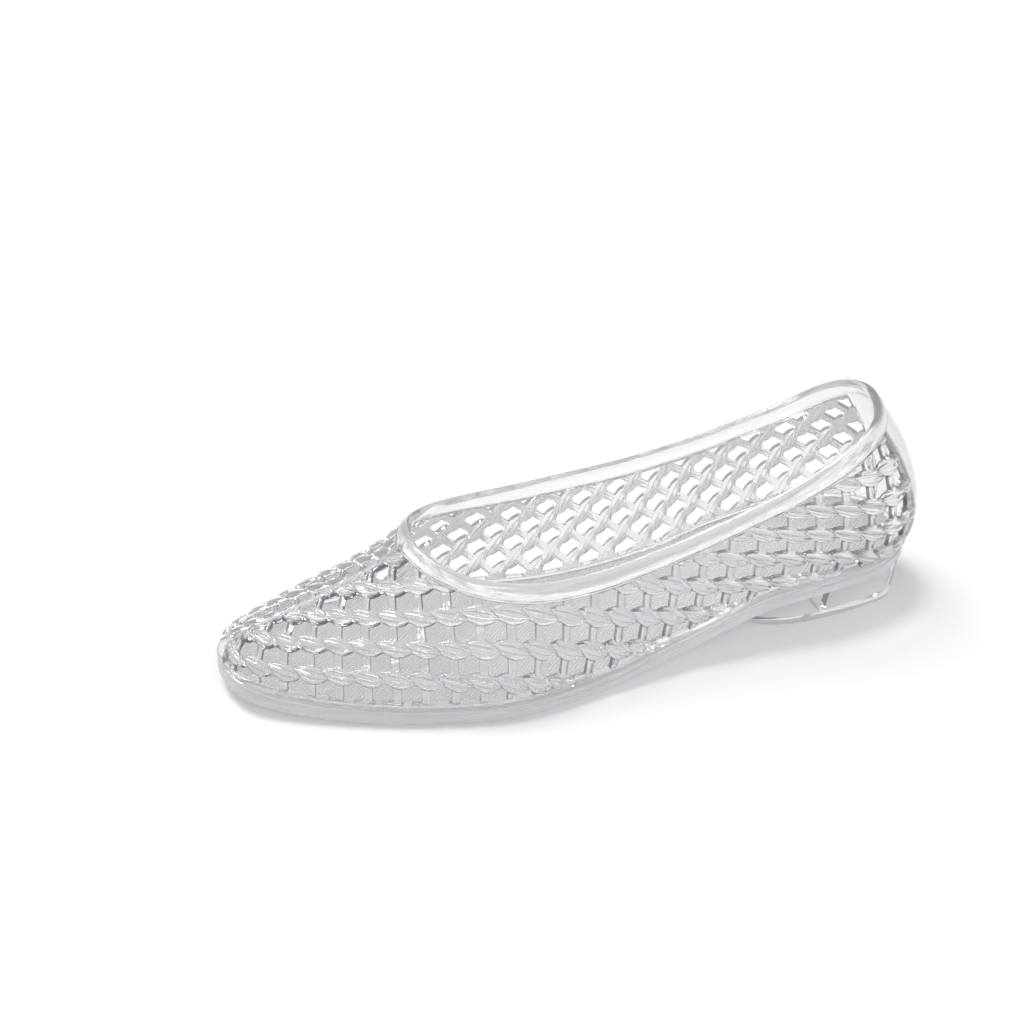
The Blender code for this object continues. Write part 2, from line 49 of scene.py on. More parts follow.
# the last, as in the part but a little fuller behind
# one section for every 15 degrees of a half turn, from heel back to toe tip
last = {
    "length": 0.250,
    "wallInset": 0.0032,      # sole edge to the inner face of the upper
    "toeSwing": -0.004,       # toe tip, towards the inner side
    "throatX": 0.180,         # front of the collar
    "soleEdge": 0.0052,       # height of the sole's edge
    "gap": 0.0003,            # between sole and upper
    "station": 15.0,
    "columns": ("lateral", "medial", "feather", "ridgeX", "ridgeZ", "flare", "rise", "shoulder",
                "ridgeSlope", "ropeStart", "ropePitch", "tuck"),
    "sections": (
        (0.0000, 0.0000, 0.0195, 0.048, 0.1000, 0.0165, 0.018, 0.029, 0.00, 4.60, 0.0125, 0.000),
        (0.0130, 0.0130, 0.0195, 0.049, 0.1000, 0.0160, 0.018, 0.0285, 0.00, 4.60, 0.0124, 0.006),
        (0.0225, 0.0220, 0.0195, 0.055, 0.0990, 0.0135, 0.018, 0.027, 0.00, 4.50, 0.0120, 0.008),
        (0.0275, 0.0255, 0.0200, 0.067, 0.0960, 0.0095, 0.018, 0.026, 0.00, 3.90, 0.0110, 0.007),
        (0.0287, 0.0245, 0.0170, 0.085, 0.0900, 0.0060, 0.018, 0.027, 0.00, 3.25, 0.0115, 0.004),
        (0.0328, 0.0235, 0.0100, 0.109, 0.0800, 0.0040, 0.018, 0.027, -0.10, 2.15, 0.0125, 0.001),
        (0.0405, 0.0260, 0.0054, 0.139, 0.0675, 0.0035, 0.017, 0.027, -0.35, 1.07, 0.0129, 0.000),
        (0.0455, 0.0310, 0.0051, 0.168, 0.0560, 0.0030, 0.014, 0.026, -0.65, 0.32, 0.0126, 0.000),
        (0.0400, 0.0345, 0.0051, 0.191, 0.0395, 0.0030, 0.010, 0.020, -0.60, 0.00, 0.0114, 0.000),
        (0.0310, 0.0330, 0.0056, 0.212, 0.0295, 0.0025, 0.007, 0.017, -0.42, -0.03, 0.0112, 0.000),
        (0.0213, 0.0260, 0.0072, 0.229, 0.0230, 0.0020, 0.005, 0.012, -0.38, 0.15, 0.0112, 0.000),
        (0.0115, 0.0170, 0.0092, 0.239, 0.0190, 0.0020, 0.004, 0.007, -0.40, 0.20, 0.0110, 0.000),
        (-0.004, 0.004, 0.0100, 0.243, 0.0173, 0.0020, 0.004, 0.004, -0.40, 0.20, 0.0110, 0.000),
    ),
    "toplineX": (0.018, 0.035, 0.060, 0.090, 0.120, 0.140, 0.160, 0.172, 0.180),
    "toplineZ": {
        1: (0.0754, 0.0694, 0.0593, 0.0498, 0.0443, 0.0430, 0.0445, 0.0463, 0.0480),
        -1: (0.0754, 0.0634, 0.0560, 0.0514, 0.0485, 0.0468, 0.0460, 0.0465, 0.0480),
    },
    "backSlope": -0.50,
    "angleSteps": 360,
    "vSteps": 80,
    "midV": 0.35,             # height on the wall where lengths along the foot are measured
}


def hermite(xs, ys, x):
    xs = np.asarray(xs, float)
    ys = np.asarray(ys, float)
    slope = np.gradient(ys, xs)
    k = np.clip(np.searchsorted(xs, x, side="right") - 1, 0, len(xs) - 2)
    span = xs[k + 1] - xs[k]
    t = (x - xs[k]) / span
    return ((2 * t**3 - 3 * t**2 + 1) * ys[k] + (t**3 - 2 * t**2 + t) * span * slope[k]
            + (3 * t**2 - 2 * t**3) * ys[k + 1] + (t**3 - t**2) * span * slope[k + 1])


def column(name, angle):
    values = [row[last["columns"].index(name)] for row in last["sections"]]
    before, after = values[1], values[-2]
    if name in ("lateral", "medial"):    # these change sign past heel and toe
        before = 2 * values[0] - values[1]
        after = 2 * values[-1] - values[-2]
    angles = last["station"] * np.arange(-1, len(values) + 1)
    return hermite(angles, [before] + values + [after], np.asarray(angle, float))


def outline(angle, side):
    x = last["length"] / 2 * (1 - np.cos(np.radians(angle)))
    return x, side * column("lateral" if side > 0 else "medial", angle)


def planNormal(angle, side):
    x1, y1 = outline(angle + 0.5, side)
    x0, y0 = outline(angle - 0.5, side)
    normal = np.stack([-(y1 - y0) * side, (x1 - x0) * side], -1)
    return normal / np.linalg.norm(normal, axis=-1, keepdims=True)


def insetOutline(angle, side, inset):
    x, y = outline(angle, side)
    normal = planNormal(angle, side)
    return x - inset * normal[..., 0], y - inset * normal[..., 1]


def wallPoint(angle, v, side):
    angle, v = np.broadcast_arrays(np.asarray(angle, float), np.asarray(v, float))
    x, y = insetOutline(angle, side, last["wallInset"])
    normal = planNormal(angle, side)
    nx, ny = normal[..., 0], normal[..., 1]
    ridgeX = column("ridgeX", angle)
    base = np.stack([x, y, column("feather", angle)], -1)
    ridgeY = last["toeSwing"] * (ridgeX / last["length"])**2
    ridge = np.stack([ridgeX, ridgeY, column("ridgeZ", angle)], -1)
    flare = column("flare", angle)
    tuck = (side < 0) * column("tuck", angle)    # collar leans in on the inner side
    shoulder = column("shoulder", angle) - tuck
    low = base + np.stack([flare * nx, flare * ny, column("rise", angle)], -1)
    high = ridge + np.stack([shoulder * nx, shoulder * ny, shoulder * nx * column("ridgeSlope", angle)], -1)
    v = v[..., None]
    return (1 - v)**3 * base + 3 * (1 - v)**2 * v * low + 3 * (1 - v) * v**2 * high + v**3 * ridge


def topline(x, side):
    xs = last["toplineX"]
    inside = np.clip(x, xs[0], xs[-1])
    return hermite(xs, last["toplineZ"][side], inside) + last["backSlope"] * np.minimum(x - xs[0], 0)


def soleBottom(angle):
    return np.maximum(column("feather", angle) - last["soleEdge"], 0.0)


def frameShift():    # the part is centred on the origin, the last starts at the heel
    low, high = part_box("outsole")
    stations = np.linspace(0, 180, 721)
    return np.array([low.x - outline(stations, 1)[0].min(), high.y - outline(stations, 1)[1].max(), 0.0])


def runLength(points):    # way along a line up to each of its points
    return np.concatenate([[0.0], np.cumsum(np.linalg.norm(np.diff(points, axis=0), axis=1))])


shift = frameShift()


class SideWall:
    # one side of the upper laid flat: u runs from heel to toe, s up the wall, both as lengths
    def __init__(self, side):
        self.side = side
        self.angles = np.linspace(0, 180, last["angleSteps"] + 1)
        self.v = np.linspace(0, 1, last["vSteps"] + 1)
        grid = wallPoint(self.angles[:, None], self.v[None, :], side)
        steps = np.linalg.norm(np.diff(grid, axis=1), axis=2)
        self.arc = np.concatenate([np.zeros((len(self.angles), 1)), np.cumsum(steps, axis=1)], axis=1)
        middle = wallPoint(self.angles, np.full_like(self.angles, last["midV"]), side)
        self.u = runLength(middle)
        self.top = self.findTop(grid)

    def findTop(self, grid):
        over = grid[..., 2] - topline(grid[..., 0], self.side)
        over[grid[..., 0] > last["throatX"]] = -1.0
        top = self.arc[:, -1].copy()
        for row, rise in enumerate(over):
            k = int(np.argmax(rise > 0))
            if rise[k] > 0:
                part = -rise[k - 1] / (rise[k] - rise[k - 1])
                top[row] = self.arc[row, k - 1] + part * (self.arc[row, k] - self.arc[row, k - 1])
        return top

    def uAt(self, angle):
        return np.interp(angle, self.angles, self.u)

    def angleAt(self, u):
        return np.interp(u, self.u, self.angles)

    def topAt(self, angle):
        return np.interp(angle, self.angles, self.top)

    def ridgeAt(self, angle):
        return np.interp(angle, self.angles, self.arc[:, -1])

    def place(self, flat, height):
        flat = np.asarray(flat, float)
        angle = self.angleAt(flat[:, 0])
        steps = last["angleSteps"]
        position = angle / 180 * steps
        row = np.minimum(position.astype(int), steps - 1)
        part = (position - row)[:, None]
        arcs = self.arc[row] * (1 - part) + self.arc[row + 1] * part
        s = np.clip(flat[:, 1], 0, arcs[:, -1])
        k = np.clip((arcs <= s[:, None]).sum(axis=1) - 1, 0, last["vSteps"] - 1)
        index = np.arange(len(k))
        span = arcs[index, k + 1] - arcs[index, k]
        v = self.v[k] + (s - arcs[index, k]) / span / last["vSteps"]
        moved = wallPoint(angle, v, self.side) + np.asarray(height)[:, None] * self.normals(angle, v)
        moved[:, 2] = np.maximum(moved[:, 2], column("feather", angle))
        return moved + shift

    def normals(self, angle, v):
        low = np.clip(v - 0.01, 0, 1)
        high = np.clip(v + 0.01, 0, 1)
        along = wallPoint(angle + 0.4, v, self.side) - wallPoint(angle - 0.4, v, self.side)
        up = wallPoint(angle, high, self.side) - wallPoint(angle, low, self.side)
        normal = self.side * np.cross(up, along)
        ridge = v > 1 - 1e-6
        normal[ridge] = np.stack([-along[ridge, 2], 0 * along[ridge, 1], along[ridge, 0]], -1)
        normal[(angle < 1e-6) | (angle > 180 - 1e-6), 1] = 0
        return normal / np.linalg.norm(normal, axis=1, keepdims=True)


walls = {side: SideWall(side) for side in (1, -1)}


def throatAngle():
    angles = np.linspace(90, 150, 601)
    return float(np.interp(last["throatX"], column("ridgeX", angles), angles))


def spineAngle(distance):    # section whose centre line point lies this far in front of the collar
    angles = np.linspace(throatAngle(), 180, 721)
    points = wallPoint(angles, np.ones_like(angles), 1)
    return np.interp(distance, runLength(points), angles)


def evenPolyline(points, count):
    points = np.asarray(points, float)
    run = runLength(points)
    wanted = np.linspace(0, run[-1], count)
    return np.stack([np.interp(wanted, run, points[:, k]) for k in range(points.shape[1])], -1)


print("last measured: side walls", [round(wall.u[-1], 4) for wall in walls.values()])


# smooth bands that frame the weave
bands = {
    "rimHeight": 0.0056,      # broad part of the collar band
    "rimOut": 0.0030,         # its outer face over the wall's inner face
    "rimIn": -0.0003,
    "beadAt": 0.0064,         # fine bead under the band
    "rimFoot": 0.0072,        # lower end of the band
    "rimPoints": 150,         # along half of the collar
    "baseHeight": 0.0030,     # band along the sole
    "baseOut": 0.0026,
    "basePoints": 150,
    "backHalf": 0.0175,       # half width of the strip up the heel
    "backOut": 0.0026,
    "spineHalf": 0.0012,      # half width of the seam down the vamp
    "spineOut": 0.0023,
    "toeAngle": 5.0,          # smooth tip, in degrees of the half turn
    "toeOut": 0.0024,
    "lap": 0.6,               # strips start at this part of the base band's height
    "edgeFall": 0.0006,       # strips are this much lower at their edges
}


def rimLine(wall, way):
    # the collar line moved down the wall by way, from the centre line in front to the heel back
    throat = throatAngle()
    share = np.linspace(0, 1, 4 * bands["rimPoints"])
    rim = np.stack([wall.uAt(throat * (1 - share**1.7)), wall.topAt(throat * (1 - share**1.7))], -1)
    rim = evenPolyline(rim, 2 * bands["rimPoints"])
    along = np.gradient(rim, axis=0)
    along /= np.linalg.norm(along, axis=1, keepdims=True)
    moved = rim + way * np.stack([-along[:, 1], along[:, 0]], -1)
    if way > 0:
        angle = float(spineAngle(way))
        start = [wall.uAt(angle), wall.ridgeAt(angle)]
        kept = moved[moved[:, 1] < wall.ridgeAt(wall.angleAt(moved[:, 0])) - 0.0006]
    else:
        start = rim[0]
        kept = moved[1:]
    kept = kept[kept[:, 0] > 0.0004]
    end = [0.0, rim[-1, 1] - way]
    return evenPolyline(np.vstack([[start], kept, [end]]), bands["rimPoints"])


def addObject(name, data):
    thing = bpy.data.objects.new(name, data)
    bpy.context.scene.collection.objects.link(thing)
    return thing


def meshPiece(name, points, faces, merge=1e-6):
    shape = bmesh.new()
    corners = [shape.verts.new(point) for point in points]
    for face in faces:
        shape.faces.new([corners[k] for k in face])
    bmesh.ops.remove_doubles(shape, verts=shape.verts, dist=merge)
    bmesh.ops.dissolve_degenerate(shape, edges=shape.edges, dist=merge)
    bmesh.ops.recalc_face_normals(shape, faces=shape.faces)
    mesh = bpy.data.meshes.new(name)
    shape.to_mesh(mesh)
    shape.free()
    return addObject(name, mesh)


def sweptLoop(name, rows):
    # rows[k] is a closed path for one point of a closed profile
    rows = np.asarray(rows)
    high, count = rows.shape[:2]
    faces = []
    for j in range(high):
        for k in range(count):
            a, b = j * count + k, j * count + (k + 1) % count
            c, d = (j + 1) % high * count + (k + 1) % count, (j + 1) % high * count + k
            faces.append([a, b, c, d])
    return meshPiece(name, rows.reshape(-1, 3), faces)


def bothSides(line, height):
    # a line on each wall, joined to one closed path
    paths = []
    for wall in walls.values():
        flat = line(wall)
        paths.append(wall.place(flat, np.full(len(flat), height)))
    return np.vstack([paths[0], paths[1][-2:0:-1]])


def rimProfile():
    out, inn, bead = bands["rimOut"], bands["rimIn"], bands["beadAt"]
    middle, radius = (out + inn) / 2, (out - inn) / 2
    arc = [(radius * (1 - math.sin(a)), middle + radius * math.cos(a)) for a in np.linspace(0, math.pi, 11)]
    broad = bands["rimHeight"]
    inside = [(broad - 0.0006, inn), (broad + 0.0004, 0.0), (bands["rimFoot"], 0.0)]
    outside = [(bands["rimFoot"], 0.0016), (bead + 0.0004, 0.0022), (bead, 0.0025), (bead - 0.0004, 0.0021),
               (broad - 0.0001, 0.0022), (broad - 0.0005, out - 0.0002), (broad - 0.0012, out)]
    return arc + inside + outside


def makeRim():
    rows = [bothSides(lambda wall: rimLine(wall, way), height) for way, height in rimProfile()]
    return sweptLoop("rimBand", rows)


def makeBase():
    out, top = bands["baseOut"], bands["baseHeight"]
    profile = [(0.0, 0.0), (0.0, out - 0.0003), (0.0003, out), (top * 0.45, out), (top * 0.6, out - 0.0004),
               (top * 0.75, out - 0.0001), (top - 0.0003, out - 0.0003), (top, out - 0.0009), (top, 0.0)]
    angles = np.linspace(0, 180, bands["basePoints"])
    rows = [bothSides(lambda wall: np.stack([wall.uAt(angles), np.full_like(angles, s)], -1), height)
            for s, height in profile]
    return sweptLoop("baseBand", rows)


def shellPiece(name, grids):
    # each grid is (outer points, inner points), both (rows, columns, 3); shared borders are merged
    outer, inner, faces = [], [], []
    for top, under in grids:
        rows, cols = top.shape[:2]
        first = len(outer)
        outer += list(top.reshape(-1, 3))
        inner += list(under.reshape(-1, 3))
        for j in range(rows - 1):
            for k in range(cols - 1):
                a = first + j * cols + k
                faces.append([a, a + 1, a + cols + 1, a + cols])
    finder = KDTree(len(outer))
    for k, point in enumerate(outer):
        finder.insert(point, k)
    finder.balance()
    same = [min(k for _, k, _ in finder.find_range(point, 2e-5)) for point in outer]
    merged = []
    for face in faces:
        ring = list(dict.fromkeys(same[k] for k in face))
        if len(ring) > 2:
            merged.append(ring)
    edges = {}
    for ring in merged:
        for a, b in zip(ring, ring[1:] + ring[:1]):
            edges.setdefault(frozenset((a, b)), []).append((a, b))
    count = len(outer)
    solid = merged + [[count + k for k in ring] for ring in merged]
    for uses in edges.values():
        if len(uses) == 1:
            a, b = uses[0]
            solid.append([a, b, count + b, count + a])
    return meshPiece(name, outer + inner, solid)


def edgeRound(share, start=0.7):    # fall of a strip from the start towards its edge at 1
    return bands["edgeFall"] * np.clip((share - start) / (1 - start), 0, 1)**2


def stripGrid(wall, flat, height):
    rows, cols = flat.shape[:2]
    outer = wall.place(flat.reshape(-1, 2), height.reshape(-1))
    inner = wall.place(flat.reshape(-1, 2), np.zeros(rows * cols))
    return outer.reshape(rows, cols, 3), inner.reshape(rows, cols, 3)


def makeBackStrip():
    grids = []
    across = np.append(np.linspace(0, 0.92, 15), (0.95, 0.975, 1.0))    # level, then round at the edge
    up = np.linspace(0, 1, 40)
    for wall in walls.values():
        ring = rimLine(wall, bands["rimHeight"])[::-1]
        top = np.interp(across * bands["backHalf"], ring[:, 0], ring[:, 1])
        low = bands["baseHeight"] * bands["lap"]
        u = np.broadcast_to(across * bands["backHalf"], (len(up), len(across)))
        s = low + up[:, None] * (top - low)
        height = bands["backOut"] - edgeRound(np.broadcast_to(across, u.shape), across[-4])
        grids.append(stripGrid(wall, np.stack([u, s], -1), height))
    return shellPiece("backStrip", grids)


def makeVampSeam():
    # seam down the vamp and the smooth toe tip in one piece
    grids = []
    start = float(spineAngle(bands["rimHeight"]))
    tip = 180 - bands["toeAngle"]
    for wall in walls.values():
        angles = np.linspace(start, tip, 70)
        across = np.linspace(0, 1, 5)
        ridge = wall.ridgeAt(angles)[:, None]
        s = ridge - across * bands["spineHalf"]
        u = np.broadcast_to(wall.uAt(angles)[:, None], s.shape)
        height = bands["spineOut"] - edgeRound(np.broadcast_to(across, s.shape))
        grids.append(stripGrid(wall, np.stack([u, s], -1), height))
        angles = np.linspace(tip, 180, 9)
        low = bands["baseHeight"] * bands["lap"]
        ridge = wall.ridgeAt(angles)[:, None]
        upper = ridge - across * bands["spineHalf"]
        lower = low + (ridge - bands["spineHalf"] - low) * np.linspace(1, 0, 14)[None, 1:]
        s = np.concatenate([upper, lower], axis=1)
        u = np.broadcast_to(wall.uAt(angles)[:, None], s.shape)
        height = np.full(s.shape, bands["toeOut"])
        height[0, 5:] -= bands["edgeFall"]
        height[0, :5] = bands["spineOut"] - edgeRound(across)
        grids.append(stripGrid(wall, np.stack([u, s], -1), height))
    return shellPiece("vampSeam", grids)


def combine(piece, other, operation):
    step = piece.modifiers.new(other.name, "BOOLEAN")
    step.operation = operation
    step.solver = "MANIFOLD"
    step.object = other


def joined(name, pieces):
    # one closed solid from overlapping closed ones
    for other in pieces[1:]:
        combine(pieces[0], other, "UNION")
    return plainCopy(name, pieces[0], pieces)


def plainCopy(name, source, used=()):
    # the evaluated mesh as a plain object, with what it was made from removed
    graph = bpy.context.evaluated_depsgraph_get()
    mesh = bpy.data.meshes.new_from_object(source.evaluated_get(graph))
    mesh.name = name
    piece = addObject(name, mesh)
    for thing in set(used) | {source}:
        bpy.data.objects.remove(thing, do_unlink=True)
    return piece


def report(piece):
    mesh = piece.data
    mesh.calc_loop_triangles()
    shape = bmesh.new()
    shape.from_mesh(mesh)
    bad = sum(1 for edge in shape.edges if len(edge.link_faces) != 2)
    shape.free()
    print(f"{piece.name}: {len(mesh.loop_triangles)} triangles, {bad} open edges")


def mark(piece, name):    # an attribute that is 1 all over, for the plastic's shader
    values = np.ones(len(piece.data.vertices))
    piece.data.attributes.new(name, "FLOAT", "POINT").data.foreach_set("value", values)


upperBands = joined("upperBands", [makeRim(), makeBase(), makeBackStrip(), makeVampSeam()])
mark(upperBands, "satin")    # bands are a little duller than the weave
report(upperBands)


# weave: ropes of overlapping leaves, joined by double bars
weave = {
    "barPitch": 0.0094,
    "barLean": 0.34,          # bars lean back by this part of a pitch for each rope
    "turn": math.radians(44.0),    # the inner side's cell is turned by this
    "turnBar": 0.0096,
    "turnPitch": 0.0088,
    "turnStart": (0.59, 0.14),    # bars and ropes before the heel back
    "sideLength": {1: 0.27835, -1: 0.27324},    # of the part's walls; the weave is set out from the toe
    "wall": 0.0014,           # wall at the edge of an opening
    "leafRise": 0.0017,
    "leafReach": 0.66,        # half length of a leaf, in bar pitches
    "leafPower": 2.1,         # how full its ends are
    "leafHalf": 0.295,        # half width of a leaf, in rope pitches
    "leafTilt": 0.17,
    "leafSag": 0.030,
    "leafLift": 0.35,         # how far the end towards the heel stands over the next leaf
    "leafDome": 0.7,          # how round it is across, 1 for a parabola
    "leafEnd": 0.35,          # how steeply its ends rise
    "strands": 3,             # on each leaf
    "strandShare": 0.2,       # part of the relief that the strands have
    "strandFade": 0.4,        # how soon they fade towards the leaf's edge
    "barHalf": 0.150,         # half width of a double bar, in bar pitches
    "barRise": 0.0005,
    "overlap": 0.0004,        # weave reaches this far into the bands
    "barStops": (0.0, 0.22, 0.40, 0.50, 0.60, 0.78, 1.0),
    "ropeStops": (0.0, 0.1, 0.2, 0.32, 0.5, 0.68, 0.8, 0.9, 1.0),
    "rings": 3,               # of faces round an opening, outside
    "innerRings": 2,          # the same on the inner face
    "innerRise": 0.15,        # relief inside, against the outer relief
    "openingShade": {"top": 1.0, "side": 0.92, "bottom": 0.75},    # painted shade: dark line round an opening, darkest at the top under the leaves
    "detail": 1,              # subdivisions of a cell's faces
    "cells": 46,              # tried this far each way
}


strandTurn = math.pi * weave["strands"] / 2    # phase of the strands at a leaf's edge


def leafLine(offset):    # centre line and half width of a leaf at an offset from its bar
    t = np.clip(offset / weave["leafReach"], -1, 1)
    swell = 1 - np.abs(t)**weave["leafPower"]
    return -weave["leafTilt"] * offset - weave["leafSag"] * swell, weave["leafHalf"] * swell


def ropeEdge(bar, way):    # lower (-1) or upper (+1) edge of a rope
    bar = np.asarray(bar, float)
    edges = []
    for leaf in (np.floor(bar), np.floor(bar) + 1):
        centre, half = leafLine(leaf - bar)
        edges.append(centre + way * half)
    return way * np.maximum(way * edges[0], way * edges[1])


def weaveRelief(bar, rope):
    # height over the plain wall
    across = rope - np.round(rope)
    height = np.zeros_like(bar)
    for step in (-1, 0, 1):
        offset = np.round(bar) + step - bar
        centre, half = leafLine(offset)
        q = np.clip((across - centre) / np.maximum(half, 1e-4), -1, 1)
        inside = (np.abs(offset) < weave["leafReach"]) & (np.abs(q) < 1)
        dome = (1 - q**2)**weave["leafDome"]
        strands = dome**weave["strandFade"] * np.cos(strandTurn * q)**2
        along = np.clip(1 - (offset / weave["leafReach"])**2, 0, 1)**weave["leafEnd"]
        lift = 1 + weave["leafLift"] * offset
        rounded = (1 - weave["strandShare"]) * dome + weave["strandShare"] * strands
        height = np.maximum(height, np.where(inside, weave["leafRise"] * lift * along * rounded, 0))
    x = np.clip((bar - np.round(bar)) / weave["barHalf"], -1, 1)
    pair = weave["barRise"] * np.abs(np.sin(np.pi * x))
    return np.maximum(height, pair)


def cellTile():
    # one cell round its opening: outer face in rings, wall of the opening, inner face
    bars, ropes = np.array(weave["barStops"]), np.array(weave["ropeStops"])
    border = ([(b, 0.0) for b in bars[:-1]] + [(1.0, r) for r in ropes[:-1]]
              + [(b, 1.0) for b in bars[:0:-1]] + [(0.0, r) for r in ropes[:0:-1]])
    border = np.array(border)
    half = weave["barHalf"]
    b = half + (1 - 2 * half) * border[:, 0]
    low, high = ropeEdge(b, 1), 1 + ropeEdge(b, -1)
    opening = np.stack([b, low + (high - low) * border[:, 1]], -1)
    count = len(border)
    points, faces, lines = [], [], []
    # painted shade on each opening's rim, kept in the line attribute
    openingDark = weave["openingShade"]
    edge = np.full(count, openingDark["side"])
    edge[border[:, 1] == 1] = openingDark["top"]
    edge[border[:, 1] == 0] = openingDark["bottom"]
    for level, shares in ((1.0, np.linspace(0, 1, weave["rings"] + 1)),
                          (0.0, np.linspace(1, 0, weave["innerRings"] + 1))):
        for share in shares:
            points += [(*p, level) for p in border + share * (opening - border)]
            lines += list(edge * (share == 1))
    for ring in range(weave["rings"] + weave["innerRings"] + 1):
        for k in range(count):
            n = (k + 1) % count
            here, there = ring * count, (ring + 1) * count
            faces.append([here + k, here + n, there + n, there + k])
    mesh = bpy.data.meshes.new("weaveCell")
    mesh.from_pydata(points, [], faces)
    mesh.attributes.new("line", "FLOAT", "POINT").data.foreach_set("value", lines)
    return addObject("weaveCell", mesh)


def weaveTree():
    tree = bpy.data.node_groups.new("weaveOfCells", "GeometryNodeTree")
    kinds = {"Geometry": "Geometry", "Cell": "Object", "Detail": "Int", "Material": "Material"}
    for name, kind in kinds.items():
        tree.interface.new_socket(name, in_out="INPUT", socket_type="NodeSocket" + kind)
    tree.interface.new_socket("Geometry", in_out="OUTPUT", socket_type="NodeSocketGeometry")
    nodes, links = tree.nodes, tree.links
    start = nodes.new("NodeGroupInput")
    cell = nodes.new("GeometryNodeObjectInfo")
    spread = nodes.new("GeometryNodeInstanceOnPoints")
    real = nodes.new("GeometryNodeRealizeInstances")
    weld = nodes.new("GeometryNodeMergeByDistance")
    weld.inputs["Distance"].default_value = 0.002    # in cells
    finer = nodes.new("GeometryNodeSubdivideMesh")
    coat = nodes.new("GeometryNodeSetMaterial")
    end = nodes.new("NodeGroupOutput")
    links.new(start.outputs["Geometry"], spread.inputs["Points"])
    links.new(start.outputs["Cell"], cell.inputs["Object"])
    links.new(cell.outputs["Geometry"], spread.inputs["Instance"])
    links.new(spread.outputs["Instances"], real.inputs["Geometry"])
    links.new(real.outputs["Geometry"], weld.inputs["Geometry"])
    links.new(weld.outputs["Geometry"], finer.inputs["Mesh"])
    links.new(start.outputs["Detail"], finer.inputs["Level"])
    links.new(finer.outputs["Mesh"], coat.inputs["Geometry"])
    links.new(start.outputs["Material"], coat.inputs["Material"])
    links.new(coat.outputs["Geometry"], end.inputs["Geometry"])
    return tree


def socketId(tree, name):
    return next(item.identifier for item in tree.interface.items_tree
                if item.name == name and item.in_out == "INPUT")


def toFlat(wall, bar, rope):    # a place in the weave, on the flat wall
    if wall.side > 0:
        u = (bar - weave["barLean"] * rope) * weave["barPitch"]
        u = u + wall.u[-1] - weave["sideLength"][wall.side]
        angle = wall.angleAt(u)
        return np.stack([u, (rope - column("ropeStart", angle)) * column("ropePitch", angle)], -1)
    along = (bar - weave["turnStart"][0]) * weave["turnBar"]
    across = (rope - weave["turnStart"][1]) * weave["turnPitch"]
    turn = weave["turn"]
    u = across * math.sin(turn) - along * math.cos(turn)
    u = u + wall.u[-1] - weave["sideLength"][wall.side]
    return np.stack([u, along * math.sin(turn) + across * math.cos(turn)], -1)


def weaveArea(wall):
    over = weave["overlap"]
    low = bands["baseHeight"] - over
    start = bands["backHalf"] - over
    tip = 180 - bands["toeAngle"]
    front = wall.uAt(tip) + over
    ring = rimLine(wall, bands["rimFoot"] - over)
    angles = np.linspace(wall.angleAt(front), float(spineAngle(bands["rimFoot"] - over)), 40)
    sides = [(wall.uAt(a), wall.ridgeAt(a) - bands["spineHalf"] + over) for a in angles]
    behind = [p for p in ring[1:] if p[0] > start]
    end = np.interp(start, ring[::-1, 0], ring[::-1, 1])
    return np.array([(start, low), (front, low)] + sides + behind + [(start, end)])


def signedDistance(points, polygon):
    a, b = polygon, np.roll(polygon, -1, axis=0)
    edge = b - a
    best = np.full(len(points), 1e9)
    odd = np.zeros(len(points), bool)
    for p, q, e in zip(a, b, edge):
        offset = points - p
        t = np.clip(offset @ e / max(e @ e, 1e-18), 0, 1)
        best = np.minimum(best, np.linalg.norm(offset - t[:, None] * e, axis=1))
        crosses = (p[1] > points[:, 1]) != (q[1] > points[:, 1])
        at = p[0] + (points[:, 1] - p[1]) / (e[1] if e[1] else 1.0) * e[0]
        odd ^= crosses & (points[:, 0] < at)
    return np.where(odd, best, -best)


def makeWeave(name, wall, tile, tree, material):
    area = weaveArea(wall)
    tried = np.arange(-weave["cells"], weave["cells"])
    bar, rope = np.meshgrid(tried, tried)
    corners = np.stack([bar.ravel(), rope.ravel()], -1).astype(float)
    spots = np.stack([toFlat(wall, corners[:, 0] + db, corners[:, 1] + dr)
                      for db in (0, 0.5, 1) for dr in (0, 0.5, 1)])
    reached = np.stack([signedDistance(spot, area) for spot in spots]).max(axis=0) > -0.001
    inRange = (spots[:, :, 0].min(axis=0) > -0.02) & (spots[:, :, 0].max(axis=0) < wall.u[-1] + 0.02)
    chosen = corners[reached & inRange]
    mesh = bpy.data.meshes.new(name)
    mesh.from_pydata([(*c, 0.0) for c in chosen], [], [])
    grid = addObject(name + "Cells", mesh)
    tiled = grid.modifiers.new("weaveOfCells", "NODES")
    tiled.node_group = tree
    tiled[socketId(tree, "Cell")] = tile
    tiled[socketId(tree, "Detail")] = weave["detail"]
    tiled[socketId(tree, "Material")] = material
    piece = plainCopy(name, grid)
    shape = bmesh.new()
    shape.from_mesh(piece.data)
    trimToArea(shape, wall, area)
    flat = np.array([vert.co[:] for vert in shape.verts])
    relief = weaveRelief(flat[:, 0], flat[:, 1])
    height = flat[:, 2] * (weave["wall"] + relief) - (1 - flat[:, 2]) * weave["innerRise"] * relief
    for vert, place in zip(shape.verts, wall.place(toFlat(wall, flat[:, 0], flat[:, 1]), height)):
        vert.co = place
    bmesh.ops.recalc_face_normals(shape, faces=shape.faces)
    shape.to_mesh(piece.data)
    shape.free()
    woven = piece.data.attributes.new("weavePlace", "FLOAT_VECTOR", "POINT")
    woven.data.foreach_set("vector", flat.ravel())
    print(f"{name}: {len(chosen)} cells")
    return piece


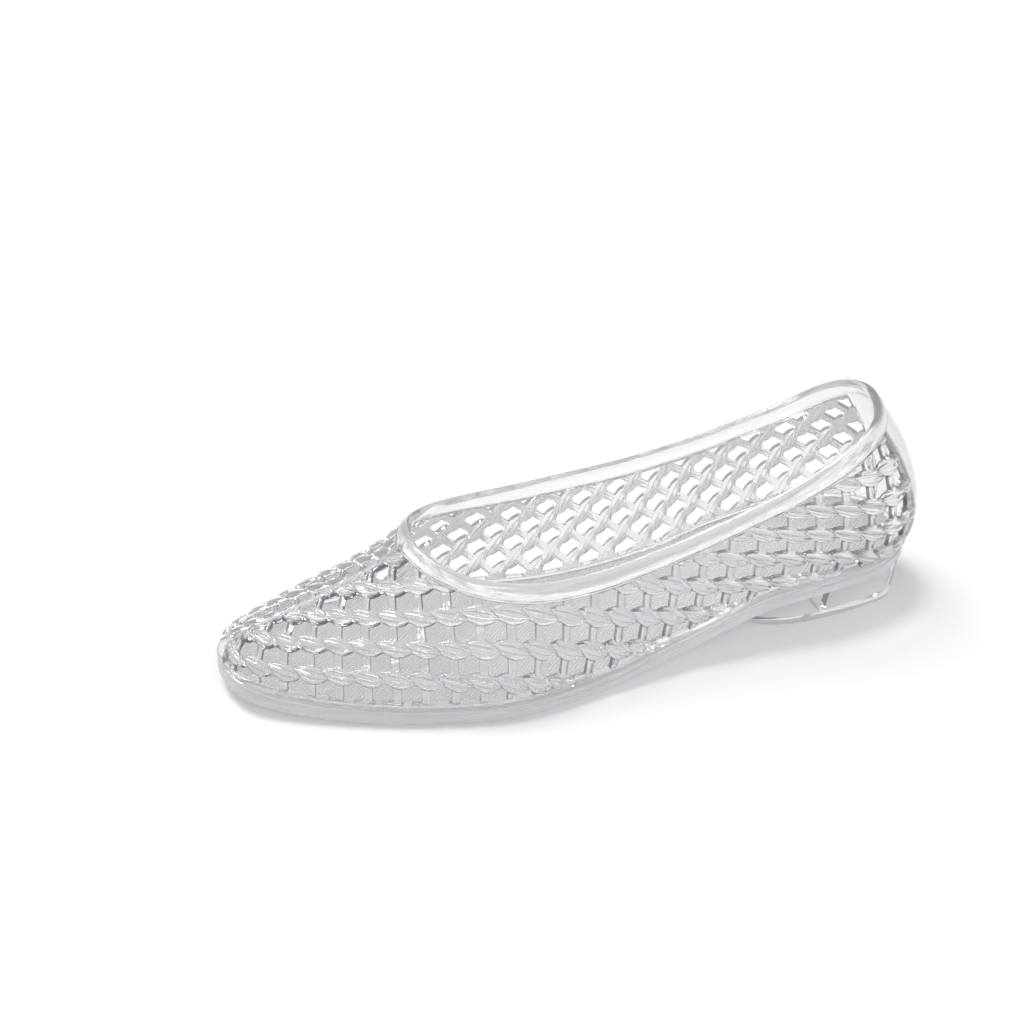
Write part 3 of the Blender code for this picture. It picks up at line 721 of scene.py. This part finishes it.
def trimToArea(shape, wall, area):
    # cuts the tiled cells along the area's edge and closes the cut ends
    share = shape.verts.layers.float.new("share")
    flat = np.array([vert.co[:] for vert in shape.verts])
    inside = signedDistance(toFlat(wall, flat[:, 0], flat[:, 1]), area)
    for vert, distance, (bar, rope, level) in zip(shape.verts, inside, flat):
        vert[share] = level
        vert.co = (distance, bar, rope)
    outside = [face for face in shape.faces if max(vert.co.x for vert in face.verts) < 0]
    bmesh.ops.delete(shape, geom=outside, context="FACES")
    whole = shape.verts[:] + shape.edges[:] + shape.faces[:]
    bmesh.ops.bisect_plane(shape, geom=whole, dist=1e-7, plane_co=(0, 0, 0), plane_no=(1, 0, 0),
                           clear_inner=True)
    for vert in shape.verts:
        vert.co = (vert.co.y, vert.co.z, vert[share])
    loose = [vert for vert in shape.verts if not vert.link_faces]
    bmesh.ops.delete(shape, geom=loose, context="VERTS")
    cut = [edge for edge in shape.edges if len(edge.link_faces) == 1]
    bmesh.ops.holes_fill(shape, edges=cut, sides=0)


# clear plastic: tint and gloss of each slot
plastics = {
    "clear_pvc_upper": {
        "tint": (0.99, 0.986, 0.998), "clear": 0.91, "rough": 0.04, "ior": 1.50,
        "shade": 0.89,        # light that each face lets through to the floor
        # painted shade colour of the weave's dark lines
        "lines": (0.10, 0.10, 0.13),
        "strandShade": 0.60,   # how dark the painted shade between strands is
        "leafLine": 0.95,     # and the painted shade round leaves
        "innerShade": 0.55,    # part of this painted shade that the inner side has
        "bandRough": 0.13,
    },
    "clear_pvc_sole": {
        "tint": (0.97, 0.965, 0.995), "clear": 0.67, "rough": 0.08, "ior": 1.50,
        "shade": 0.68,
    },
    "hatched_footbed": {
        "tint": (0.985, 0.985, 0.99), "clear": 0.42, "rough": 0.10, "ior": 1.45,
        "shade": 0.95,
        "lines": (0.70, 0.70, 0.73),
    },
    "clear_heel": {
        "tint": (1.0, 0.995, 0.975), "clear": 0.89, "rough": 0.03, "ior": 1.47,
        "shade": 0.99,
    },
}
surface = {
    "mouldScale": 110.0,
    "mouldFine": 0.02,        # part of the finer unevenness
    "mouldBump": (0.03, 0.0008),    # strength and distance
    "hatchPitch": 0.0012,
    "hatchBump": (0.8, 0.0003),
    "strandBump": (0.3, 0.0003),
    "sharpAngle": math.radians(48),    # edges over this stay crisp
}


def floatInput(group, name, value):
    socket = group.interface.new_socket(name, in_out="INPUT", socket_type="NodeSocketFloat")
    socket.default_value = value


def floatOutputs(group, *names):
    for name in names:
        group.interface.new_socket(name, in_out="OUTPUT", socket_type="NodeSocketFloat")


def calc(tree, operation, *values):    # a Math node, fed by numbers or sockets
    node = tree.nodes.new("ShaderNodeMath")
    node.operation = operation
    for socket, value in zip(node.inputs, values):
        if isinstance(value, (int, float)):
            socket.default_value = value
        else:
            tree.links.new(value, socket)
    return node.outputs[0]


def remap(tree, value, old=(0.0, 1.0), new=(0.0, 1.0)):
    node = tree.nodes.new("ShaderNodeMapRange")
    for name, number in zip(("From Min", "From Max", "To Min", "To Max"), (*old, *new)):
        node.inputs[name].default_value = number
    tree.links.new(value, node.inputs["Value"])
    return node.outputs["Result"]


def mouldGroup():
    # soft unevenness of moulded plastic, as a height
    group = bpy.data.node_groups.new("mouldedSurface", "ShaderNodeTree")
    floatInput(group, "Scale", 90.0)
    floatInput(group, "Fine", 0.15)
    floatOutputs(group, "Height")
    nodes, links = group.nodes, group.links
    start = nodes.new("NodeGroupInput")
    place = nodes.new("ShaderNodeTexCoord")
    broad = nodes.new("ShaderNodeTexNoise")
    broad.inputs["Detail"].default_value = 1.5
    fine = nodes.new("ShaderNodeTexNoise")
    fine.inputs["Scale"].default_value = 900.0
    end = nodes.new("NodeGroupOutput")
    links.new(place.outputs["Object"], broad.inputs["Vector"])
    links.new(place.outputs["Object"], fine.inputs["Vector"])
    links.new(start.outputs["Scale"], broad.inputs["Scale"])
    height = calc(group, "MULTIPLY_ADD", fine.outputs["Fac"], start.outputs["Fine"], broad.outputs["Fac"])
    links.new(height, end.inputs["Height"])
    return group


def hatchGroup():
    # two crossing sets of fine diagonal ridges: their height, and lines along their tops
    group = bpy.data.node_groups.new("fineHatch", "ShaderNodeTree")
    floatInput(group, "Pitch", surface["hatchPitch"])
    floatOutputs(group, "Height", "Lines")
    nodes, links = group.nodes, group.links
    start = nodes.new("NodeGroupInput")
    place = nodes.new("ShaderNodeTexCoord")
    axes = nodes.new("ShaderNodeSeparateXYZ")
    end = nodes.new("NodeGroupOutput")
    links.new(place.outputs["Object"], axes.inputs[0])
    turns = calc(group, "DIVIDE", 2 * math.pi / math.sqrt(2), start.outputs["Pitch"])
    waves = []
    for operation in ("ADD", "SUBTRACT"):
        across = calc(group, operation, axes.outputs["X"], axes.outputs["Y"])
        waves.append(calc(group, "SINE", calc(group, "MULTIPLY", across, turns)))
    ridge = calc(group, "MAXIMUM", *waves)
    links.new(ridge, end.inputs["Height"])
    links.new(remap(group, ridge, old=(0.2, 0.9)), end.inputs["Lines"])
    return group


def leafGroup():
    # strands of the leaves, from a place in the weave:
    # # painted shade lines in the grooves between strands and under and between leaves, and a height
    group = bpy.data.node_groups.new("leafStrands", "ShaderNodeTree")
    group.interface.new_socket("Place", in_out="INPUT", socket_type="NodeSocketVector")
    floatInput(group, "Line Width", 0.30)
    floatInput(group, "Edge Width", 0.15)
    floatOutputs(group, "GrooveShade", "Edges", "Height")
    nodes, links = group.nodes, group.links

    def work(operation, *values):
        return calc(group, operation, *values)

    def line(value, width):    # 1 where the value is 0, down to 0 at the width
        return work("SUBTRACT", 1.0, work("MINIMUM", work("DIVIDE", value, width), 1.0))

    start = nodes.new("NodeGroupInput")
    axes = nodes.new("ShaderNodeSeparateXYZ")
    links.new(start.outputs["Place"], axes.inputs[0])
    bar, rope = axes.outputs["X"], axes.outputs["Y"]
    across = work("SUBTRACT", rope, work("ROUND", rope))
    nearest = work("SUBTRACT", work("ROUND", bar), bar)
    best, second, chosen = 0.0, 0.0, 0.0
    for step in (0.0, 1.0, -1.0):
        offset = work("ADD", nearest, step)
        t = work("MINIMUM", work("ABSOLUTE", work("DIVIDE", offset, weave["leafReach"])), 1.0)
        swell = work("SUBTRACT", 1.0, work("POWER", t, weave["leafPower"]))
        centre = work("SUBTRACT", work("MULTIPLY", offset, -weave["leafTilt"]),
                      work("MULTIPLY", swell, weave["leafSag"]))
        half = work("MAXIMUM", work("MULTIPLY", swell, weave["leafHalf"]), 0.001)
        q = work("DIVIDE", work("SUBTRACT", across, centre), half)
        lift = work("MULTIPLY_ADD", offset, 2 * weave["leafLift"], 1.0)
        rounded = work("SUBTRACT", 1.0, work("MULTIPLY", q, q))
        dome = work("MULTIPLY", rounded, work("MULTIPLY", swell, lift))
        over = work("GREATER_THAN", dome, best)
        kept = work("MULTIPLY", chosen, work("SUBTRACT", 1.0, over))
        chosen = work("ADD", work("MULTIPLY", q, over), kept)
        second = work("MAXIMUM", second, work("MINIMUM", dome, best))
        best = work("MAXIMUM", dome, best)
    onLeaf = work("GREATER_THAN", best, 0.0)
    strands = work("ABSOLUTE", work("COSINE", work("MULTIPLY", chosen, strandTurn)))
    inner = work("LESS_THAN", work("ABSOLUTE", chosen), 0.7)
    # painted shade: in strand grooves, along each leaf's lower edge and where leaves overlap
    shadedGrooves = work("MULTIPLY", line(strands, start.outputs["Line Width"]), work("MULTIPLY", inner, onLeaf))
    between = work("MULTIPLY", line(work("SUBTRACT", best, second), start.outputs["Edge Width"]),
                   work("GREATER_THAN", second, 0.0))
    lower = work("MULTIPLY", line(work("ADD", chosen, 1.0), start.outputs["Edge Width"]), onLeaf)
    end = nodes.new("NodeGroupOutput")
    links.new(shadedGrooves, end.inputs["GrooveShade"])
    links.new(work("MAXIMUM", between, lower), end.inputs["Edges"])
    links.new(work("MULTIPLY", work("POWER", strands, 0.6), onLeaf), end.inputs["Height"])
    return group


groups = {"mould": mouldGroup(), "hatch": hatchGroup(), "leaf": leafGroup()}


def groupNode(nodes, name, **values):
    node = nodes.new("ShaderNodeGroup")
    node.node_tree = groups[name]
    for key, value in values.items():
        node.inputs[key].default_value = value
    return node


def shadeMix(nodes, plain, line):
    mix = nodes.new("ShaderNodeMix")
    mix.data_type = "RGBA"
    mix.inputs["A"].default_value = (*plain, 1)
    mix.inputs["B"].default_value = (*line, 1)
    return mix


def pieceMark(tree, name):    # sockets of an attribute
    node = tree.nodes.new("ShaderNodeAttribute")
    node.attribute_name = name
    return node.outputs


def bumpNormal(tree, height, size, normal=None):
    node = tree.nodes.new("ShaderNodeBump")
    for name, value in zip(("Strength", "Distance"), size):
        node.inputs[name].default_value = value
    tree.links.new(height, node.inputs["Height"])
    if normal is not None:
        tree.links.new(normal, node.inputs["Normal"])
    return node.outputs["Normal"]


def clearPlastic(slot, hatched=False, woven=False):
    look = plastics[slot]
    material = bpy.data.materials.new(slot)
    material.use_nodes = True
    tree = material.node_tree
    nodes, links = tree.nodes, tree.links
    plastic = nodes["Principled BSDF"]
    plastic.inputs["Base Color"].default_value = (*look["tint"], 1)
    plastic.inputs["Roughness"].default_value = look["rough"]
    plastic.inputs["IOR"].default_value = look["ior"]
    plastic.inputs["Transmission Weight"].default_value = look["clear"]
    mould = groupNode(nodes, "mould", Scale=surface["mouldScale"], Fine=surface["mouldFine"])
    normal = bumpNormal(tree, mould.outputs["Height"], surface["mouldBump"])
    dark = None
    if hatched:
        hatch = groupNode(nodes, "hatch")
        dark = hatch.outputs["Lines"]
        normal = bumpNormal(tree, hatch.outputs["Height"], surface["hatchBump"], normal)
    if woven:
        leaf = groupNode(nodes, "leaf")
        links.new(pieceMark(tree, "weavePlace")["Vector"], leaf.inputs["Place"])
        # painted shade: dark lines at openings, in strand grooves and round leaves, mixed into the base
        # colour
        opening = remap(tree, pieceMark(tree, "line")["Fac"], old=(0.5, 1.0))
        shadedStrands = calc(tree, "MULTIPLY", leaf.outputs["GrooveShade"], look["strandShade"])
        shadedLeaves = calc(tree, "MULTIPLY_ADD", leaf.outputs["Edges"], look["leafLine"], shadedStrands)
        share = remap(tree, pieceMark(tree, "faintShade")["Fac"], new=(1.0, look["innerShade"]))
        dark = calc(tree, "MULTIPLY", calc(tree, "MAXIMUM", opening, shadedLeaves), share)
        dull = remap(tree, pieceMark(tree, "satin")["Fac"], new=(look["rough"], look["bandRough"]))
        links.new(dull, plastic.inputs["Roughness"])
        normal = bumpNormal(tree, leaf.outputs["Height"], surface["strandBump"], normal)
    if dark is not None:
        shades = shadeMix(nodes, look["tint"], look["lines"])
        links.new(dark, shades.inputs["Factor"])
        links.new(shades.outputs["Result"], plastic.inputs["Base Color"])
    links.new(normal, plastic.inputs["Normal"])
    # light passes straight through to the floor, so that the shadow stays pale
    shadow = nodes.new("ShaderNodeBsdfTransparent")
    shadow.inputs["Color"].default_value = (look["shade"],) * 3 + (1,)
    rays = nodes.new("ShaderNodeLightPath")
    blend = nodes.new("ShaderNodeMixShader")
    toFloor = calc(tree, "MAXIMUM", rays.outputs["Is Shadow Ray"], rays.outputs["Is Diffuse Ray"])
    links.new(toFloor, blend.inputs["Fac"])
    links.new(plastic.outputs["BSDF"], blend.inputs[1])
    links.new(shadow.outputs["BSDF"], blend.inputs[2])
    links.new(blend.outputs["Shader"], nodes["Material Output"].inputs["Surface"])
    return material


looks = {
    "clear_pvc_upper": clearPlastic("clear_pvc_upper", woven=True),
    "clear_pvc_sole": clearPlastic("clear_pvc_sole"),
    "hatched_footbed": clearPlastic("hatched_footbed", hatched=True),
    "clear_heel": clearPlastic("clear_heel"),
}
print("materials ready:", ", ".join(looks))

tile = cellTile()
tree = weaveTree()
weaves = [makeWeave("upperOuterWeave", walls[1], tile, tree, looks["clear_pvc_upper"]),
          makeWeave("upperInnerWeave", walls[-1], tile, tree, looks["clear_pvc_upper"])]
bpy.data.objects.remove(tile, do_unlink=True)
mark(weaves[1], "faintShade")    # painted shade lines show less on the inner side

# sole and footbed
sole = {
    "stations": 300,          # from heel to toe
    "across": 40,             # over the width of the underside
    "round": 0.0007,          # at the lower edge
    "step": ((0.0, 0.0016), (0.0001, 0.0013), (0.0004, 0.0011), (0.0004, 0.0006)),    # inset and drop
    "topRound": 0.0005,       # at the upper edge
    "treadPitch": 0.0036,
    "treadDepth": 0.0004,
    "treadRun": (0.8, 0.6),   # direction across the ribs
    "treadFade": 0.004,       # tread stops this far from the edge
    "treadSoft": 0.001,       # and fades in over this
    "footbed": 0.0020,        # thickness of the footbed
    "footbedInset": 0.0041,
    "footbedEdge": ((0.0, 0.0008), (0.0002, 0.0003), (0.0008, 0.0)),    # inset and drop
}


def footPlate(name, levels, underside=None):
    # rings of (inset, height at an angle) from the underside up, closed below and above
    angles = np.linspace(0, 180, sole["stations"] + 1)
    count = 2 * sole["stations"]
    points, faces = [], []
    for inset, height in levels:
        for side, run in ((1, angles), (-1, angles[-2:0:-1])):
            x, y = insetOutline(run, side, inset)
            points += list(np.stack([x, y, height(run)], -1))
    for level in range(len(levels) - 1):
        for k in range(count):
            n = (k + 1) % count
            low, high = level * count, (level + 1) * count
            faces.append([low + k, low + n, high + n, high + k])
    columns = sole["across"] if underside else 2
    for first, bottom in ((0, True), ((len(levels) - 1) * count, False)):
        rows = []
        for k in range(sole["stations"] + 1):
            near, far = first + k, first + (count - k) % count
            row = [near]
            if bottom and underside and near != far:
                for share in np.linspace(0, 1, columns)[1:-1]:
                    point = np.array(points[near]) * (1 - share) + np.array(points[far]) * share
                    edge = min(share, 1 - share) * abs(points[near][1] - points[far][1])
                    ends = min(k, sole["stations"] - k) / sole["stations"] * last["length"]
                    point[2] += underside(point[0], point[1], min(edge, ends))
                    row.append(len(points))
                    points.append(point)
            row.append(far)
            rows.append(row)
        for a, b in zip(rows, rows[1:]):
            if a[0] == a[-1]:
                a = [a[0]] * len(b)
            if b[0] == b[-1]:
                b = [b[0]] * len(a)
            for k in range(len(a) - 1):
                faces.append(list(dict.fromkeys([a[k], a[k + 1], b[k + 1], b[k]])))
    return meshPiece(name, [point + shift for point in np.array(points)], faces)


def tread(x, y, edge):    # fine diagonal ribs, cut into the underside
    way = sole["treadRun"][0] * x + sole["treadRun"][1] * y
    wave = 0.5 + 0.5 * math.sin(2 * math.pi * way / sole["treadPitch"])
    fade = min(max((edge - sole["treadFade"]) / sole["treadSoft"], 0), 1)
    return sole["treadDepth"] * fade * wave


def soleLevels():
    arc = [(1 - math.sin(a), 1 - math.cos(a)) for a in np.linspace(0, math.pi / 2, 5)]
    size, topSize, lip = sole["round"], sole["topRound"], sole["step"][-1][0]

    def low(rise):
        return lambda angle: soleBottom(angle) + size * rise

    def top(drop):
        return lambda angle: column("feather", angle) - last["gap"] - drop

    levels = [(size * inset, low(rise)) for inset, rise in arc]
    levels += [(inset, top(drop)) for inset, drop in sole["step"]]
    levels += [(lip + topSize * inset, top(topSize * rise)) for inset, rise in arc[::-1][1:]]
    return levels


def makeFootbed():
    start, thick = sole["footbedInset"], sole["footbed"]

    def up(rise):
        return lambda angle: column("feather", angle) + rise

    levels = [(start, up(0.0))]
    levels += [(start + inset, up(thick - drop)) for inset, drop in sole["footbedEdge"]]
    return footPlate("footbed", levels)


clearSole = footPlate("clearSole", soleLevels(), tread)
footbed = makeFootbed()

# hollow heel block with a cross rib
heel = {
    "backX": (0.0075, 0.0080, 0.0110, 0.0220, 0.0370, 0.0490, 0.0580, 0.0640),
    "half": (0.0, 0.0110, 0.0165, 0.0196, 0.0218, 0.0216, 0.0192, 0.0150),
    "spread": 0.15,           # wider under the sole
    "lean": 0.003,            # back edge leans out upwards
    "inner": 0.95,            # inner side is a little narrower
    "wall": 0.0026,
    "floor": 0.0028,
    "ribX": 0.037,
    "rib": 0.0024,
    "roomOver": 0.004,        # rooms are cut past the top by this
    "points": 60,
    "levels": 6,
    "round": 0.0007,
    "roundAngle": math.radians(50),    # edges over this are rounded
}


def heelEdge(count):
    run = np.arange(len(heel["backX"]))
    share = np.linspace(0, len(run) - 1, count)
    return np.maximum.accumulate(hermite(run, heel["backX"], share)), hermite(run, heel["half"], share)


def heelRoom(lowX, highX):
    x = np.linspace(lowX, highX, heel["points"] // 2)
    return x, np.interp(x, *heelEdge(600)) - heel["wall"]


def heelLoft(name, x, half, floor, over):
    # block from the floor up to the sole, or past it by over; level rings, quads across the ends
    low, high = heel["backX"][0], heel["backX"][-1]
    along = (x - low) / (high - low)
    topX = x - heel["lean"] * (1 - along)
    topHalf = half * (1 + heel["spread"] * np.minimum(2 * along, 1))
    angle = np.degrees(np.arccos(1 - 2 * np.clip(topX, 0, last["length"]) / last["length"]))
    topZ = soleBottom(angle) - last["gap"] + over
    count = len(x)
    points, faces = [], []
    for share in np.linspace(0, 1, heel["levels"]):
        ringX = x + share * (topX - x)
        ringHalf = half + share * (topHalf - half)
        ringZ = floor + share * (topZ - floor)
        points += list(np.stack([ringX, ringHalf, ringZ], -1))
        points += list(np.stack([ringX, -heel["inner"] * ringHalf, ringZ], -1))
    for level in range(heel["levels"] - 1):
        a, b = level * 2 * count, (level + 1) * 2 * count
        for k in range(count - 1):
            faces.append([a + k, a + k + 1, b + k + 1, b + k])
            faces.append([a + count + k, a + count + k + 1, b + count + k + 1, b + count + k])
        for end in (0, count - 1):
            faces.append([a + end, a + count + end, b + count + end, b + end])
    for a in (0, (heel["levels"] - 1) * 2 * count):
        for k in range(count - 1):
            faces.append([a + k, a + k + 1, a + count + k + 1, a + count + k])
    return meshPiece(name, np.array(points) + shift, faces, merge=1e-5)


def makeHeel():
    block = heelLoft("heelBlock", *heelEdge(heel["points"]), 0.0, 0.0)
    wall, rib = heel["wall"], heel["rib"] / 2
    spans = {"heelRoomBack": (heel["backX"][0] + wall, heel["ribX"] - rib),
             "heelRoomFront": (heel["ribX"] + rib, heel["backX"][-1] - wall)}
    rooms = [heelLoft(name, *heelRoom(*span), heel["floor"], heel["roomOver"])
             for name, span in spans.items()]
    for room in rooms:
        combine(block, room, "DIFFERENCE")
    soft = block.modifiers.new("soft", "BEVEL")
    soft.width = heel["round"]
    soft.segments = 3
    soft.limit_method = "ANGLE"
    soft.angle_limit = heel["roundAngle"]
    return plainCopy("hollowHeel", block, rooms)


hollowHeel = makeHeel()


def finishPiece(piece, node, slot):
    piece.data.materials.clear()
    piece.data.materials.append(looks[slot])
    piece.data.shade_smooth()
    piece.data.set_sharp_from_angle(angle=surface["sharpAngle"])
    report(piece)
    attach(piece, "root")
    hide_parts(node)


for piece in weaves + [upperBands]:
    finishPiece(piece, "upper", "clear_pvc_upper")
finishPiece(clearSole, "outsole", "clear_pvc_sole")
finishPiece(footbed, "insole", "hatched_footbed")
finishPiece(hollowHeel, "heel", "clear_heel")

# plain studio: white floor, soft light from above, grey surroundings
studio = {
    "floorSize": 6.0,
    "floorDrop": 0.0002,      # keeps the floor clear of the sole
    "floorColour": (0.93, 0.93, 0.93),
    "floorRough": 0.9,
    "floorGloss": 0.1,
    "low": (0.44, 0.44, 0.46),    # surroundings near the floor
    "high": (0.25, 0.25, 0.26),   # straight above
    "lights": {
        "overhead": {"at": (1.10, -1.90, 3.8), "size": (1.7, 1.7), "power": 154.0, "aim": (0.0, 0.0, 0.0)},
        "frontHigh": {"at": (0.15, 1.25, 1.25), "size": (1.7, 0.16), "power": 8.0, "aim": (0.0, 0.0, 0.03)},
        "frontLow": {"at": (0.25, 1.55, 0.80), "size": (1.7, 0.12), "power": 2.0, "aim": (0.0, 0.0, 0.03)},
    },
}


def makeFloor():
    half, low = studio["floorSize"] / 2, -studio["floorDrop"]
    mesh = bpy.data.meshes.new("floor")
    corners = [(x * half, y * half, low) for x, y in ((-1, -1), (1, -1), (1, 1), (-1, 1))]
    mesh.from_pydata(corners, [], [[0, 1, 2, 3]])
    floor = addObject("floor", mesh)
    paint = bpy.data.materials.new("floorPaint")
    paint.use_nodes = True
    coat = paint.node_tree.nodes["Principled BSDF"].inputs
    coat["Base Color"].default_value = (*studio["floorColour"], 1)
    coat["Roughness"].default_value = studio["floorRough"]
    coat["Specular IOR Level"].default_value = studio["floorGloss"]
    mesh.materials.append(paint)


def makeLights():
    world = bpy.data.worlds.new("studioWorld")
    bpy.context.scene.world = world
    world.use_nodes = True
    nodes, links = world.node_tree.nodes, world.node_tree.links
    place = nodes.new("ShaderNodeTexCoord")
    axes = nodes.new("ShaderNodeSeparateXYZ")
    shade = shadeMix(nodes, studio["low"], studio["high"])
    links.new(place.outputs["Generated"], axes.inputs[0])
    links.new(axes.outputs["Z"], shade.inputs["Factor"])
    links.new(shade.outputs["Result"], nodes["Background"].inputs["Color"])
    for name, values in studio["lights"].items():
        lamp = bpy.data.lights.new(name, "AREA")
        lamp.shape = "RECTANGLE"
        lamp.size, lamp.size_y = values["size"]
        lamp.energy = values["power"]
        light = addObject(name, lamp)
        light.location = values["at"]
        aim = Vector(values["aim"]) - Vector(values["at"])
        light.rotation_euler = aim.to_track_quat("-Z", "Y").to_euler()


# camera, set as the photograph was taken
camera = {
    "azimuth": 162.5,
    "elevation": 34.5,
    "distance": 1.5,
    "lens": 151.17,
    "aim": (0.129, 0.0, 0.030),    # on the last
    "right": -0.01535,        # of the aim, so that the shoe sits in the picture as photographed
    "up": 0.01674,
}


def makeCamera():
    turn, rise = math.radians(camera["azimuth"]), math.radians(camera["elevation"])
    back = Vector((math.sin(turn) * math.cos(rise), -math.cos(turn) * math.cos(rise), math.sin(rise)))
    right = Vector((math.cos(turn), math.sin(turn), 0))
    up = back.cross(right)
    aim = Vector(camera["aim"]) + Vector(shift) + camera["right"] * right + camera["up"] * up
    lens = bpy.data.cameras.new("camera")
    lens.lens = camera["lens"]
    lens.sensor_width = 36
    eye = addObject("camera", lens)
    eye.location = aim + camera["distance"] * back
    eye.rotation_euler = (-back).to_track_quat("-Z", "Y").to_euler()
    bpy.context.scene.camera = eye


makeFloor()
makeLights()
makeCamera()
bpy.context.scene.view_settings.view_transform = "Standard"
print("studio ready")
